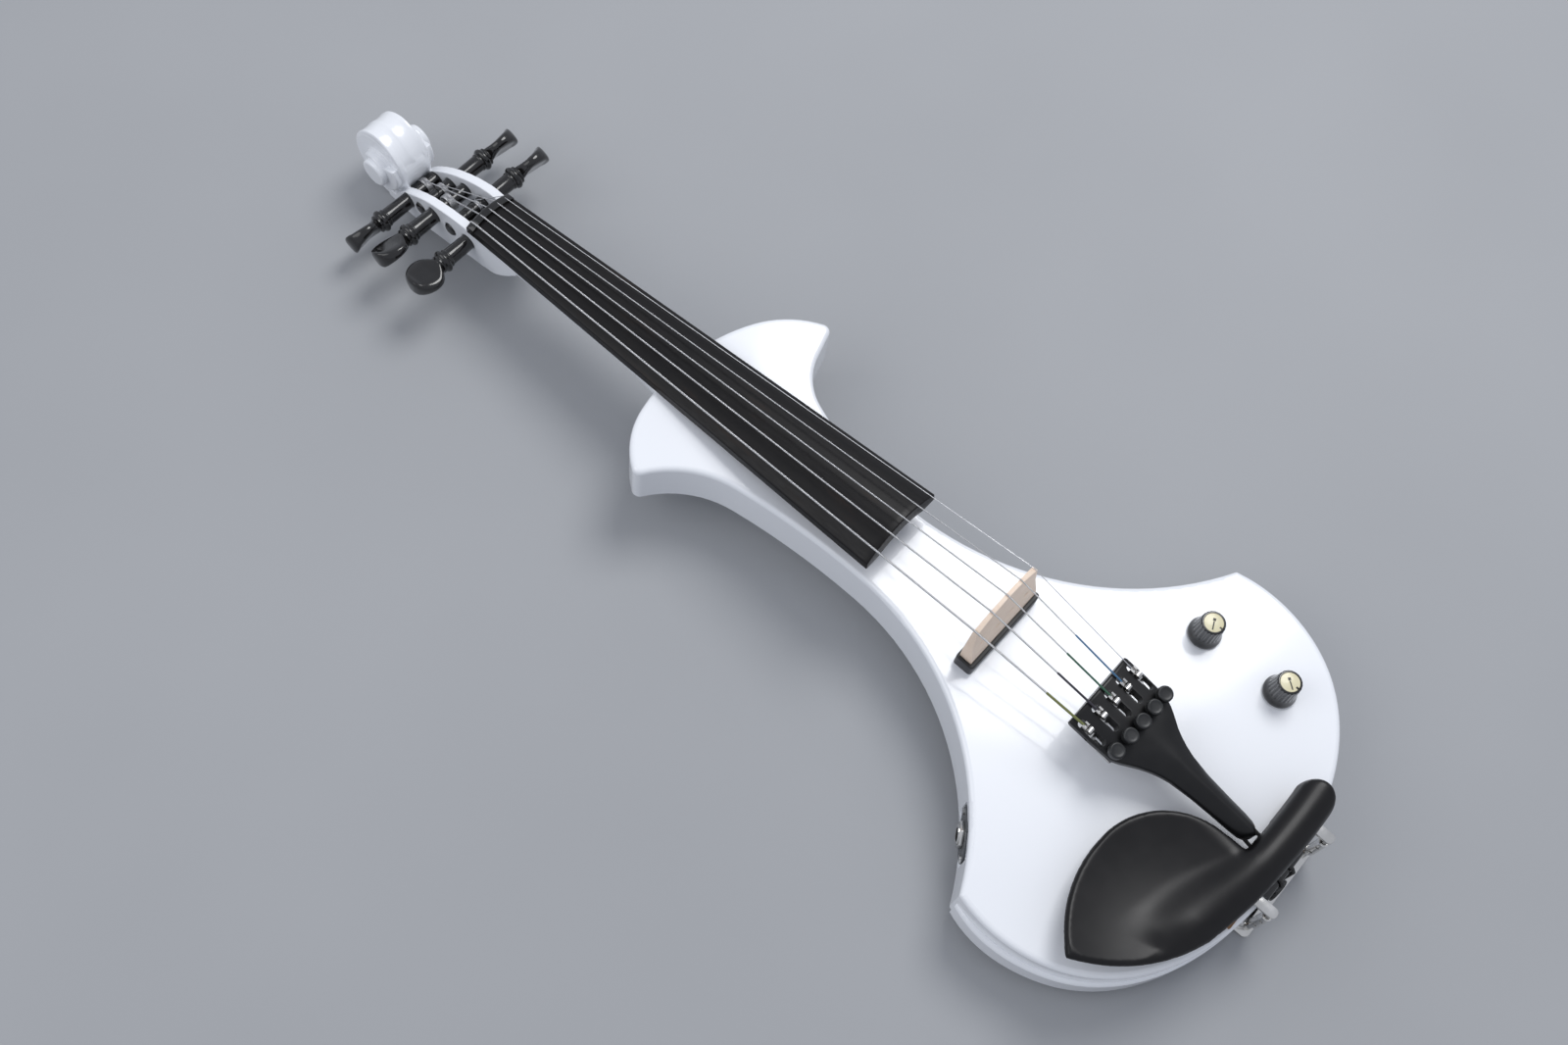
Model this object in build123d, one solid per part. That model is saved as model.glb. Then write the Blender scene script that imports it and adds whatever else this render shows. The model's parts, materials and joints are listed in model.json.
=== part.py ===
from build123d import *
import os
from math import asin, atan2, cos, hypot, radians, sin, sqrt

# Five-string solid-body electric violin, millimetres.
# Row frame: origin on the flat back face, on the centre line under the bridge.
# +X to the treble side, +Y to the scroll, +Z out of the playing side.

# ---- driving dimensions -------------------------------------------------
# The shapes are drawn about the bridge's foot on the flat back. The saved parts are moved
# so that the origin is below the middle of the whole instrument, level with its lowest point.
MIDDLE_Y = 123.95
LOWEST_Z = -30.38

BODY_THICKNESS = 29.0
BODY_TOP_Y = 198.3
BODY_EDGE_ROUND = 2.6
BOUT_HALF_WIDTH = 108.0
BOUT_CENTRE_Y = -85.0
BOUT_LENGTH = 85.0
BOUT_EXPONENT = 2.25
CORNER_X = 105.4
CORNER_Y = -68.6
BASS_HORN = (-59.0, 172.0)
TREBLE_HORN = (69.0, 158.5)
BASS_WAIST = (-23.5, 60.0)
TREBLE_WAIST = (20.5, 70.0)
BASS_SHOULDER_RADIUS = 130.0
TREBLE_SHOULDER_RADIUS = 94.0
BASS_FLANK_RADIUS = 400.0
TREBLE_FLANK_RADIUS = 185.0
TREBLE_THROAT_RADIUS = 32.0
LEDGE_HEIGHT = 16.5
LEDGE_OUT = 2.2

NUT_Y = 328.0
NUT_Z = 13.8
NECK_SLOPE = 6.46
BOARD_LENGTH = 271.7
BOARD_WIDTH_NUT = 28.8
BOARD_WIDTH_END = 49.0
BOARD_SIDE = 4.7
BOARD_RADIUS = 42.0
NUT_LENGTH = 5.5

BRIDGE_Y = 0.3
BRIDGE_TOP_Z = 69.6
BRIDGE_RADIUS = 42.0
BRIDGE_SPACING = 10.5
NUT_SPACING = 5.5
TAIL_SPACING = 8.9

TAIL_FRONT_Y = -55.2
TAIL_FRONT_Z = 51.0
TAIL_SLOPE = 7.4
TAIL_CROWN = 70.0
TAIL_THICKNESS = 7.0

KNOB_PLACES = {"volume": (67.8, -75.7), "tone": (69.0, -118.7)}
KNOB_TOP_Z = 44.2

JACK_X = -79.0
JACK_Y = -53.6
JACK_Z = 14.0
JACK_ANGLE = 125.1

OUTPUT_START = (-59.0, -80.0, 14.0)
OUTPUT_END = (50.0, -90.0, 14.0)
LEAD_START = (12.0, -3.0, 27.0)
LEAD_END = (50.0, -70.0, 14.0)

CLAMP_X = {"bass": -18.0, "treble": 27.0}
CLAMP_Y = -175.0
BARREL_RADIUS = 2.5
BUTTON_Z = 12.0

RUNNING_GAP = 0.05

# name: (place across the neck in string steps, wire radius)
STRINGS = {
    "c": (-2, 0.50),
    "g": (-1, 0.42),
    "d": (0, 0.36),
    "a": (1, 0.30),
    "e": (2, 0.20),
}

# name: (distance from the nut, height from the fingerboard's glue face,
#        side of the head, turn of the head about the peg, winding's place)
PEGS = {
    "c": (7.5, -9.5, -1, 0, -6.0),
    "g": (34.0, -10.5, -1, 30, -3.0),
    "d": (57.5, -19.0, -1, 60, 0.0),
    "a": (46.0, -16.0, 1, -62, 2.5),
    "e": (21.0, -11.0, 1, -60, 5.0),
}
PEG_COLLAR = 31.0
PEG_HEAD_END = 53.5
PEG_TAPER = 1 / 30

NECK = Plane(
    origin=(0, NUT_Y, NUT_Z),
    x_dir=(1, 0, 0),
    z_dir=(0, sin(radians(NECK_SLOPE)), cos(radians(NECK_SLOPE))),
)
TAIL = Plane(
    origin=(0, TAIL_FRONT_Y, TAIL_FRONT_Z),
    x_dir=(1, 0, 0),
    z_dir=(0, -sin(radians(TAIL_SLOPE)), cos(radians(TAIL_SLOPE))),
)
JACK_AXIS = (cos(radians(JACK_ANGLE)), sin(radians(JACK_ANGLE)), 0)
JACK = Plane(origin=(JACK_X, JACK_Y, JACK_Z), x_dir=(0, 0, 1), z_dir=JACK_AXIS)


# ---- small helpers ------------------------------------------------------
def block(low, high):
    """A box from its lowest to its highest corner."""
    size = [b - a for a, b in zip(low, high)]
    middle = [(a + b) / 2 for a, b in zip(low, high)]
    return Pos(*middle) * Box(*size)


def rod(start, end, radius):
    """A round rod between two points."""
    start = Vector(*start)
    end = Vector(*end)
    way = end - start
    plane = Plane(origin=start, z_dir=way)
    return extrude(plane * Circle(radius), amount=way.length, dir=way)


def wire(points, radius):
    """A round wire along straight runs, with a ball at each bend."""
    shape = rod(points[0], points[1], radius)
    for start, end in zip(points[1:-1], points[2:]):
        shape += Pos(*start) * Sphere(radius)
        shape += rod(start, end, radius)
    return shape


def side_profile(points, half_width):
    """A closed outline in (along, up), made thick on both sides of the centre."""
    outline = Polyline(*[(y, z) for y, z in points], close=True)
    face = Plane.YZ * make_face(outline)
    return extrude(face, amount=half_width, both=True)


def on_plane(plane, x, y, z):
    """A point given in a plane's own axes, in the row frame."""
    return plane.from_local_coords(Vector(x, y, z))


def save(name, shape):
    placed = [Pos(0, -MIDDLE_Y, -LOWEST_Z) * solid for solid in shape.solids()]
    part = placed[0] if len(placed) == 1 else Compound(children=placed)
    export_step(part, "parts/" + name + ".step")


# ---- body ---------------------------------------------------------------
def bout_arc(grow_x, grow_y):
    """Points of the lower bout's superellipse from bass corner to treble corner."""
    power = 2 / BOUT_EXPONENT
    places = []
    for step in range(0, 13):
        angle = radians(180 + 15 * step)
        across = abs(cos(angle)) ** power
        down = abs(sin(angle)) ** power
        side = -1 if step < 6 else 1
        x = side * (BOUT_HALF_WIDTH + grow_x) * across
        y = BOUT_CENTRE_Y - (BOUT_LENGTH + grow_y) * down
        places.append((x, y))
    return places


def arc_then_arc(start, heading, radius, turn, end):
    """An arc of known radius that runs on, tangent, into a second arc to the end."""
    first = JernArc(start, heading, radius, turn)
    second = TangentArc(first @ 1, end, tangent=first % 1)
    return [first, second]


def body_outline():
    """Horns, waists and lower bout as arcs that run into each other."""
    top = (0, BODY_TOP_Y)
    bass_corner = (-CORNER_X, CORNER_Y)
    treble_corner = (CORNER_X, CORNER_Y)
    edges = arc_then_arc(top, (-1, 0), BASS_SHOULDER_RADIUS, 13.5, BASS_HORN)
    edges += arc_then_arc(BASS_WAIST, (0, 1), BASS_FLANK_RADIUS, 10.5, BASS_HORN)
    edges.append(TangentArc(BASS_WAIST, bass_corner, tangent=(0, -1)))
    edges.append(Spline(bass_corner, *bout_arc(0, 0), treble_corner))
    edges.append(TangentArc(TREBLE_WAIST, treble_corner, tangent=(0, -1)))
    flank = JernArc(TREBLE_WAIST, (0, 1), TREBLE_FLANK_RADIUS, -20)
    throat = JernArc(flank @ 1, flank % 1, TREBLE_THROAT_RADIUS, -54)
    edges += [flank, throat, Line(throat @ 1, TREBLE_HORN)]
    edges += arc_then_arc(top, (1, 0), TREBLE_SHOULDER_RADIUS, -27, TREBLE_HORN)
    return make_face(edges)


def upright_edges_near(shape, places, reach):
    edges = []
    for edge in shape.edges().filter_by(Axis.Z):
        middle = edge.center()
        for x, y in places:
            if hypot(middle.X - x, middle.Y - y) < reach:
                edges.append(edge)
    return edges


def body_blank():
    plate = extrude(body_outline(), amount=BODY_THICKNESS)
    plate = fillet(upright_edges_near(plate, [BASS_HORN, TREBLE_HORN], 1.0), 4.0)
    plate = fillet(upright_edges_near(plate, [(-CORNER_X, CORNER_Y), (CORNER_X, CORNER_Y)], 1.0), 1.2)
    rims = plate.faces().sort_by(Axis.Z)[-1].edges() + plate.faces().sort_by(Axis.Z)[0].edges()
    plate = fillet(rims, BODY_EDGE_ROUND)
    ledge_points = bout_arc(LEDGE_OUT, 0.9)
    ledge_curve = Spline((-CORNER_X - 1.6, CORNER_Y - 1.5), *ledge_points, (CORNER_X + 1.6, CORNER_Y - 1.5))
    ledge_end = Line(ledge_curve @ 1, ledge_curve @ 0)
    ledge = extrude(make_face([ledge_curve, ledge_end]), amount=LEDGE_HEIGHT)
    long_rims = [e for e in ledge.edges() if e.length > 2 * BOUT_HALF_WIDTH + 40]
    ledge = fillet(long_rims, 2.2)
    return plate + ledge


def cavity_outline(grow):
    return Pos(66, -97) * RectangleRounded(36 + 2 * grow, 66 + 2 * grow, 10 + grow)


COVER_THICKNESS = 2.0
CAVITY_TOP_Z = 22.0
COVER_SCREW_PLACES = [(66 + dx * 19.0, -97 + dy * 28.0) for dx in (-1, 1) for dy in (-1, 1)]


def body_pockets():
    """Everything cut out of the body except the neck's pocket."""
    cut = extrude(cavity_outline(0), amount=CAVITY_TOP_Z)
    cut += extrude(cavity_outline(5), amount=COVER_THICKNESS)
    for x, y in COVER_SCREW_PLACES:
        cut += rod((x, y, 0), (x, y, 12.4), 1.2)
    for x, y in KNOB_PLACES.values():
        cut += rod((x, y, CAVITY_TOP_Z - 1), (x, y, BODY_THICKNESS + 1), 3.6)
    # jack bore, its plate's seat and the two plate screws
    cut += JACK * Pos(0, 0, -17) * Cylinder(10.5, 40)
    cut += JACK * Pos(0, 0, 10) * Box(18.6, 26.6, 20)
    for side in (-1, 1):
        cut += JACK * Pos(0, side * 11, -5) * Cylinder(0.9, 12.4)
    # drilled wire channels: jack to controls, and pickup to controls
    cut += rod(OUTPUT_START, OUTPUT_END, 2.2)
    cut += rod(LEAD_START, LEAD_END, 1.6)
    cut += rod(LEAD_START, (LEAD_START[0], LEAD_START[1], BODY_THICKNESS + 1), 1.6)
    cut += Pos(*LEAD_START) * Sphere(1.6)
    # saddle seat and end button hole
    cut += block((-14, -172, 26), (14, -163, 31))
    cut += rod((0, -140, BUTTON_Z), (0, -180, BUTTON_Z), 3.8)
    return cut


# ---- neck, pegbox and scroll (all in the neck plane's axes) --------------
def neck_section(along, half_width, depth):
    """A D-shaped slice across the neck, flat side up on the glue face."""
    plane = Plane(origin=(0, along, 0), x_dir=(1, 0, 0), z_dir=(0, 1, 0))
    back = Spline(
        (-half_width, 0), (-half_width * 0.93, depth * 0.42), (-half_width * 0.62, depth * 0.83),
        (0, depth), (half_width * 0.62, depth * 0.83), (half_width * 0.93, depth * 0.42), (half_width, 0),
    )
    flat = Line((half_width, 0), (-half_width, 0))
    return plane * make_face([back, flat])


def neck_shaft():
    sections = [
        neck_section(-8, 13.9, 13.0),
        neck_section(-50, 15.4, 13.6),
        neck_section(-95, 17.0, 14.6),
        neck_section(-115, 17.8, 17.5),
        neck_section(-127, 18.8, 23.5),
        neck_section(-134, 20.0, 27.0),
    ]
    shaft = loft(sections)
    tenon = block((-14, -182, -24.0), (14, -132, 0))
    return shaft + tenon


PEGBOX_WIDTHS = [(-30, 13.2), (-12, 13.6), (5, 14.2), (25, 14.2), (36, 13.6), (50, 12.9), (66, 11.3), (82, 10.0)]
WALL = 4.9


def pegbox_plan(points, inset, start, end):
    """Plan outline that follows the pegbox's tapering width."""
    inside = [(s, w - inset) for s, w in points if start <= s <= end]
    right = Spline(*[(w, s) for s, w in inside])
    left = Spline(*[(-w, s) for s, w in reversed(inside)])
    top = Line(right @ 1, left @ 0)
    bottom = Line(left @ 1, right @ 0)
    return make_face([right, top, left, bottom])


def pegbox():
    back_line = Spline((-27, -9.5), (-19, -16.5), (-8, -23.4), (8, -24.0), (22, -27.0), (42, -31.0), (62, -34.4), (80, -35.4))
    top_line = Spline((5.5, 1.2), (14, 1.8), (26, 0.2), (38, -3.2), (50, -8.8), (60, -15.2), (68, -22.5), (73, -28.5))
    outline = [
        back_line,
        Line((80, -35.4), (80, -28.5)),
        Line((80, -28.5), (73, -28.5)),
        top_line,
        Line((5.5, 1.2), (5.5, 0)),
        Line((5.5, 0), (-27, 0)),
        Line((-27, 0), (-27, -9.5)),
    ]
    side = extrude(Plane.YZ * make_face(outline), amount=20, both=True)
    plan = extrude(pegbox_plan(PEGBOX_WIDTHS, 0, -30, 82), amount=50, both=True)
    return side & plan


def pegbox_cavity():
    floor = Spline((5.0, -17.0), (25, -21.0), (45, -25.0), (62, -28.4), (70, -29.5))
    outline = [
        floor,
        Line((70, -29.5), (72.5, -20)),
        Line((72.5, -20), (72.5, 12)),
        Line((72.5, 12), (NUT_LENGTH, 12)),
        Line((NUT_LENGTH, 12), (NUT_LENGTH, -1.5)),
        Line((NUT_LENGTH, -1.5), (1.6, -5.0)),
        Line((1.6, -5.0), (1.6, -12)),
        Line((1.6, -12), (5.0, -17.0)),
    ]
    side = extrude(Plane.YZ * make_face(outline), amount=20, both=True)
    plan = extrude(pegbox_plan(PEGBOX_WIDTHS, WALL, -12, 82), amount=50, both=True)
    return side & plan


EYE_S = 77.5
EYE_N = -9.5


def volute(start, end, radius_start, radius_end, half_width):
    """A filled spiral turn about the scroll's eye, as thick as its half width."""
    points = []
    steps = 14
    for step in range(steps + 1):
        share = step / steps
        angle = radians(start + (end - start) * share)
        radius = radius_start + (radius_end - radius_start) * share ** 0.8
        points.append((EYE_S + radius * cos(angle), EYE_N + radius * sin(angle)))
    curve = Spline(*points)
    face = make_face([curve, Line(curve @ 1, curve @ 0)])
    return extrude(Plane.YZ * face, amount=half_width, both=True)


def scroll():
    turn = fillet(volute(-90, 270, 26.0, 14.2, 9.8).edges().filter_by(GeomType.BSPLINE), 1.6)
    inner = fillet(volute(150, 500, 15.6, 9.6, 13.6).edges().filter_by(GeomType.BSPLINE), 1.2)
    eye = Pos(0, EYE_S, EYE_N) * Rot(0, 90, 0) * Cylinder(8.0, 35.0)
    eye = fillet(eye.edges(), 1.4)
    return turn + inner + eye


def peg_shaft_radius(out):
    """Shaft radius at a distance from the centre line towards the head."""
    return 4.1 + out * PEG_TAPER / 2


def pegbox_half_width(along):
    for (s0, w0), (s1, w1) in zip(PEGBOX_WIDTHS, PEGBOX_WIDTHS[1:]):
        if s0 <= along <= s1:
            return w0 + (w1 - w0) * (along - s0) / (s1 - s0)
    return PEGBOX_WIDTHS[-1][1]


def peg_bore(name):
    along, up, side, _, _ = PEGS[name]
    small = peg_shaft_radius(-20) + RUNNING_GAP
    large = peg_shaft_radius(20) + RUNNING_GAP
    cone = Cone(small, large, 40)
    return Pos(0, along, up) * Rot(0, 90 * side, 0) * cone


def make_neck():
    neck = neck_shaft() + pegbox() + scroll()
    neck -= pegbox_cavity()
    for name in PEGS:
        neck -= peg_bore(name)
    for name in ("c", "e"):
        neck -= string_wire_local(name, 0.2)
    return NECK.location * neck


# ---- fingerboard and nut -------------------------------------------------
def board_section(along, half_width, side):
    plane = Plane(origin=(0, along, 0), x_dir=(1, 0, 0), z_dir=(0, -1, 0))
    rise = BOARD_RADIUS - sqrt(BOARD_RADIUS ** 2 - half_width ** 2)
    crown = ThreePointArc((-half_width, side), (0, side + rise), (half_width, side))
    sides = Polyline((half_width, side), (half_width, 0), (-half_width, 0), (-half_width, side))
    return plane * make_face([crown, sides])


def make_fingerboard():
    near = board_section(0, BOARD_WIDTH_NUT / 2, BOARD_SIDE)
    far = board_section(-BOARD_LENGTH, BOARD_WIDTH_END / 2, BOARD_SIDE)
    board = loft([near, far])
    hollow = Pos(0, -BOARD_LENGTH, -30) * Rot(90, 0, 0) * Cylinder(34.0, 210)
    free_part = block((-40, -BOARD_LENGTH - 1, -10), (40, -182.5, 30))
    return NECK.location * (board - (hollow & free_part))


def make_nut():
    half = BOARD_WIDTH_NUT / 2
    rise = BOARD_RADIUS - sqrt(BOARD_RADIUS ** 2 - half ** 2)
    top = BOARD_SIDE + rise + 1.1
    crown = ThreePointArc((-half, BOARD_SIDE + 0.7), (0, top), (half, BOARD_SIDE + 0.7))
    sides = Polyline((half, BOARD_SIDE + 0.7), (half, 0), (-half, 0), (-half, BOARD_SIDE + 0.7))
    plane = Plane(origin=(0, 0, 0), x_dir=(1, 0, 0), z_dir=(0, -1, 0))
    nut = extrude(plane * make_face([crown, sides]), amount=-NUT_LENGTH)
    back_top = nut.edges().filter_by(GeomType.CIRCLE).sort_by(Axis.Y)[-1]
    nut = fillet(back_top, 2.0)
    for name in STRINGS:
        nut -= string_wire_local(name, RUNNING_GAP)
    return NECK.location * nut


# ---- strings ---------------------------------------------------------------
def crown_drop(x, radius):
    return radius - sqrt(radius ** 2 - x ** 2)


def bridge_point(name):
    step, _ = STRINGS[name]
    x = step * BRIDGE_SPACING
    return (x, BRIDGE_Y, BRIDGE_TOP_Z - crown_drop(x, BRIDGE_RADIUS))


def tail_crown(x):
    """Height of the tailpiece's top over its flat underside."""
    return TAIL_THICKNESS - crown_drop(x, TAIL_CROWN)


def tail_x(name):
    return STRINGS[name][0] * TAIL_SPACING


BALL_Y = -9.2
PIVOT_Y = -10.6
PIVOT_Z = 1.6


def string_end_point(name):
    x = tail_x(name)
    point = on_plane(TAIL, x, BALL_Y + 2.4, tail_crown(x) + 0.75)
    return (point.X, point.Y, point.Z)


def nut_point_local(name, lift):
    x = STRINGS[name][0] * NUT_SPACING
    rise = BOARD_RADIUS - sqrt(BOARD_RADIUS ** 2 - (BOARD_WIDTH_NUT / 2) ** 2)
    height = BOARD_SIDE + rise - crown_drop(x, BOARD_RADIUS) + 0.9
    return (x, 1.2, height + lift)


def nut_exit_local(name):
    """Where the string leaves the back of the nut."""
    x, _, height = nut_point_local(name, 0)
    return (x, NUT_LENGTH - 0.7, height - 0.5)


def winding_radius(name):
    """Radius from the peg's axis to the centre of the wound string."""
    _, _, side, _, place = PEGS[name]
    wire_radius = STRINGS[name][1]
    return peg_shaft_radius(side * place) + RUNNING_GAP + 4 * wire_radius * PEG_TAPER + wire_radius


def peg_top_local(name):
    """Tangent point of the string on its peg, on the scroll side."""
    along, up, side, _, place = PEGS[name]
    _, start_y, start_z = nut_exit_local(name)
    reach = hypot(along - start_y, up - start_z)
    radius = winding_radius(name)
    angle = atan2(up - start_z, along - start_y) + asin(radius / reach)
    run = sqrt(reach ** 2 - radius ** 2)
    return (place, start_y + run * cos(angle), start_z + run * sin(angle))


def string_wire_local(name, gap):
    """The bend over the nut, in the neck plane's axes."""
    radius = STRINGS[name][1] + gap
    start = NECK.to_local_coords(Vector(*bridge_point(name)))
    end = peg_top_local(name)
    return wire([(start.X, start.Y, start.Z), nut_point_local(name, 0), nut_exit_local(name), end], radius)


def string_points(name):
    nut = on_plane(NECK, *nut_point_local(name, 0))
    leave = on_plane(NECK, *nut_exit_local(name))
    peg = on_plane(NECK, *peg_top_local(name))
    return [
        string_end_point(name),
        bridge_point(name),
        (nut.X, nut.Y, nut.Z),
        (leave.X, leave.Y, leave.Z),
        (peg.X, peg.Y, peg.Z),
    ]


def winding(name):
    """Turns of string round the peg, as a ribbed sleeve on the peg's axis."""
    along, up, side, _, place = PEGS[name]
    radius = STRINGS[name][1]
    shape = None
    for turn in range(5):
        x = place + (turn - 2) * 2 * radius * 0.92
        ring = Pos(x, along, up) * Rot(0, 90, 0) * Torus(winding_radius(name), radius)
        shape = ring if shape is None else shape + ring
    return NECK.location * shape


def make_string(name):
    line = wire(string_points(name), STRINGS[name][1])
    return line + winding(name)


# ---- pegs ------------------------------------------------------------------
def peg_head():
    """Thumb piece in the peg's axes: along X, flat faces to +Z and -Z."""
    start = PEG_COLLAR + 3.0
    face = Spline(
        (start, 3.4), (start + 3.5, 6.4), (start + 9, 10.6), (start + 15, 10.2), (PEG_HEAD_END - 0.9, 6.0),
        (PEG_HEAD_END, 0),
    )
    lower = Spline(
        (PEG_HEAD_END, 0), (PEG_HEAD_END - 0.9, -6.0), (start + 15, -10.2), (start + 9, -10.6),
        (start + 3.5, -6.4), (start, -3.4),
    )
    outline = make_face([face, lower, Line((start, -3.4), (start, 3.4))])
    plate = extrude(outline, amount=10, both=True)
    top = Spline((start - 1, 4.4), (start + 5, 3.3), (start + 12, 4.2), (PEG_HEAD_END, 6.2))
    bottom = Spline((PEG_HEAD_END, -6.2), (start + 12, -4.2), (start + 5, -3.3), (start - 1, -4.4))
    thickness = make_face([
        top,
        Line((PEG_HEAD_END, 6.2), (PEG_HEAD_END, -6.2)),
        bottom,
        Line((start - 1, -4.4), (start - 1, 4.4)),
    ])
    slab = extrude(Plane.XZ * thickness, amount=15, both=True)
    return plate & slab


def make_peg(name):
    along, up, side, turn, _ = PEGS[name]
    tip = -pegbox_half_width(along) - 0.9
    tip_radius = peg_shaft_radius(tip)
    collar_radius = peg_shaft_radius(PEG_COLLAR)
    profile = Polyline(
        (tip, 0), (tip, tip_radius - 0.8), (tip + 0.8, tip_radius), (PEG_COLLAR - 1.5, collar_radius),
        (PEG_COLLAR - 1.5, 5.0), (PEG_COLLAR - 0.3, 6.2), (PEG_COLLAR + 0.5, 6.2), (PEG_COLLAR + 1.9, 5.2),
        (PEG_COLLAR + 2.8, 4.2),
        (PEG_COLLAR + 4.5, 3.6), (PEG_COLLAR + 4.5, 0),
        close=True,
    )
    shaft = revolve(make_face(profile), Axis.X)
    peg = shaft + peg_head()
    place = Pos(0, along, up) * Rot(0, 0, 0 if side > 0 else 180) * Rot(turn, 0, 0)
    return NECK.location * (place * peg)


# ---- pickup and bridge -------------------------------------------------------
BAR_LOW = (-25.3, -7.9, 29.0)
BAR_HIGH = (25.3, 2.1, 37.0)
BRIDGE_BASE_Z = 35.4
STRIP_TOP_Z = 34.0


def make_pickup_bar():
    bar = block(BAR_LOW, BAR_HIGH)
    bar = fillet(bar.edges().filter_by(Axis.Z), 1.6)
    bar = fillet(bar.faces().sort_by(Axis.Z)[-1].edges(), 0.6)
    bar -= block((-23.7, -5.9, STRIP_TOP_Z), (23.7, 1.1, 40))
    bar -= block((-22.2, -4.6, 31.9), (22.2, -0.2, 36))
    bar -= rod((12, -3, 28), (12, -3, 33), 1.2)
    return bar


def make_piezo_strip():
    return block((-22, -4.4, 32), (22, -0.4, STRIP_TOP_Z - 0.1))


def bridge_blank():
    half = 23.5
    side_top = BRIDGE_TOP_Z - crown_drop(21.6, BRIDGE_RADIUS) - 0.6
    crown = ThreePointArc((-21.8, side_top), (0, BRIDGE_TOP_Z - 0.5), (21.8, side_top))
    sides = Polyline(
        (21.8, side_top), (22.8, 52), (half, 44), (half, STRIP_TOP_Z), (-half, STRIP_TOP_Z),
        (-half, 44), (-22.8, 52), (-21.8, side_top),
    )
    front = extrude(Plane.XZ * make_face([crown, sides]), amount=20, both=True)
    thickness = Polyline(
        (-5.7, STRIP_TOP_Z), (0.9, STRIP_TOP_Z), (1.15, 44), (1.2, 71), (-0.6, 71), (-2.6, 52), (-5.7, 40),
        close=True,
    )
    slab = extrude(Plane.YZ * make_face(thickness), amount=40, both=True)
    return front & slab


def make_bridge():
    bridge = bridge_blank()
    for middle in (-1.5, -0.5, 0.5, 1.5):
        x = middle * BRIDGE_SPACING
        bridge -= block((x - 1.4, -8, 47.5), (x + 1.4, 4, 48.6))
    for name in STRINGS:
        points = string_points(name)[:3]
        bridge -= wire(points, STRINGS[name][1] + RUNNING_GAP)
    return bridge


# ---- tailpiece and fine tuners (in the tail plane's axes) ----------------------
TAIL_LENGTH = 93.0
SCREW_Y = -23.0
SLOT_HALF = 1.85
BLADE_HALF = 1.6


def tail_outline():
    half = [
        (20.6, 0.0), (20.9, -12), (20.4, -24.5), (16.4, -32.5), (11.4, -41.5), (8.2, -51),
        (6.8, -62), (6.1, -74), (5.6, -86), (4.6, -91.0),
    ]
    right = Spline(*half[2:])
    left = Spline(*[(-x, y) for x, y in reversed(half[2:])])
    tip = ThreePointArc(right @ 1, (0, -TAIL_LENGTH), left @ 0)
    upper = Polyline((-20.4, -24.5), (-20.9, -12), (-20.6, 0), (20.6, 0), (20.9, -12), (20.4, -24.5))
    return make_face([right, tip, left, upper])


def make_tailpiece():
    plate = extrude(tail_outline(), amount=TAIL_THICKNESS + 3)
    crown = Pos(0, -40, TAIL_THICKNESS - TAIL_CROWN) * Rot(90, 0, 0) * Cylinder(TAIL_CROWN, 140)
    plate = plate & crown
    for name in STRINGS:
        x = tail_x(name)
        plate -= block((x - SLOT_HALF, -18.5, -1), (x + SLOT_HALF, -2.6, 12))
        plate -= rod((x, SCREW_Y, -1), (x, SCREW_Y, 12), 1.3 + RUNNING_GAP)
    plate -= rod((-25, PIVOT_Y, PIVOT_Z), (25, PIVOT_Y, PIVOT_Z), 0.75)
    piece = TAIL.location * plate
    for side in (-1, 1):
        piece -= wire(gut_points(side), GUT_RADIUS + 0.02)
    return piece


def make_tuner_pin():
    pin = rod((-20.3, PIVOT_Y, PIVOT_Z), (20.3, PIVOT_Y, PIVOT_Z), 0.73)
    return TAIL.location * pin


def make_tuner_lever(name):
    x = tail_x(name)
    top = tail_crown(x)
    outline = [
        (-5.6, 0.2), (-5.0, top + 2.0), (-7.2, top + 2.0), (-7.5, 3.9), (-11.6, 3.4), (-14.6, -1.4),
        (-26.0, -2.2), (-26.0, -3.9), (-13.4, -3.4), (-8.0, -1.6),
    ]
    blade = side_profile(outline, BLADE_HALF)
    blade -= rod((-5, PIVOT_Y, PIVOT_Z), (5, PIVOT_Y, PIVOT_Z), 0.78)
    blade -= block((-0.7, -8.0, top - 0.6), (0.7, -4, top + 3))
    ball = rod((-1.4, BALL_Y, top + 0.75), (1.4, BALL_Y, top + 0.75), 1.6)
    ball -= rod((-2, BALL_Y, top + 0.75), (2, BALL_Y, top + 0.75), 0.6)
    return TAIL.location * (Pos(x, 0, 0) * Compound(children=[blade, ball]))


def make_tuner_screw(name):
    x = tail_x(name)
    top = tail_crown(x)
    shank = rod((x, SCREW_Y, -1.9), (x, SCREW_Y, top + 2.4), 1.3)
    collar = rod((x, SCREW_Y, top + 0.9), (x, SCREW_Y, top + 2.6), 2.4)
    head = rod((x, SCREW_Y, top + 2.4), (x, SCREW_Y, top + 6.4), 3.8)
    head = fillet(head.edges(), 0.7)
    return TAIL.location * (shank + collar + head)


# ---- tail gut, saddle and end button --------------------------------------------
GUT_RADIUS = 0.9


def gut_points(side):
    start = on_plane(TAIL, 3.2 * side, -82, 2.6)
    return [
        (start.X, start.Y, start.Z),
        (3.6 * side, -165.0, 33.4),
        (4.1 * side, -170.4, 32.2),
        (4.1 * side, -171.9, 30.0),
        (4.1 * side, -171.9, BUTTON_Z),
    ]


def make_tail_gut():
    loop = []
    for step in range(7):
        angle = radians(180 + 30 * step)
        loop.append((4.1 * cos(angle), -171.9, BUTTON_Z + 4.1 * sin(angle)))
    path = gut_points(-1)[:-1] + loop + gut_points(1)[:-1][::-1]
    return wire(path, GUT_RADIUS)


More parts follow.
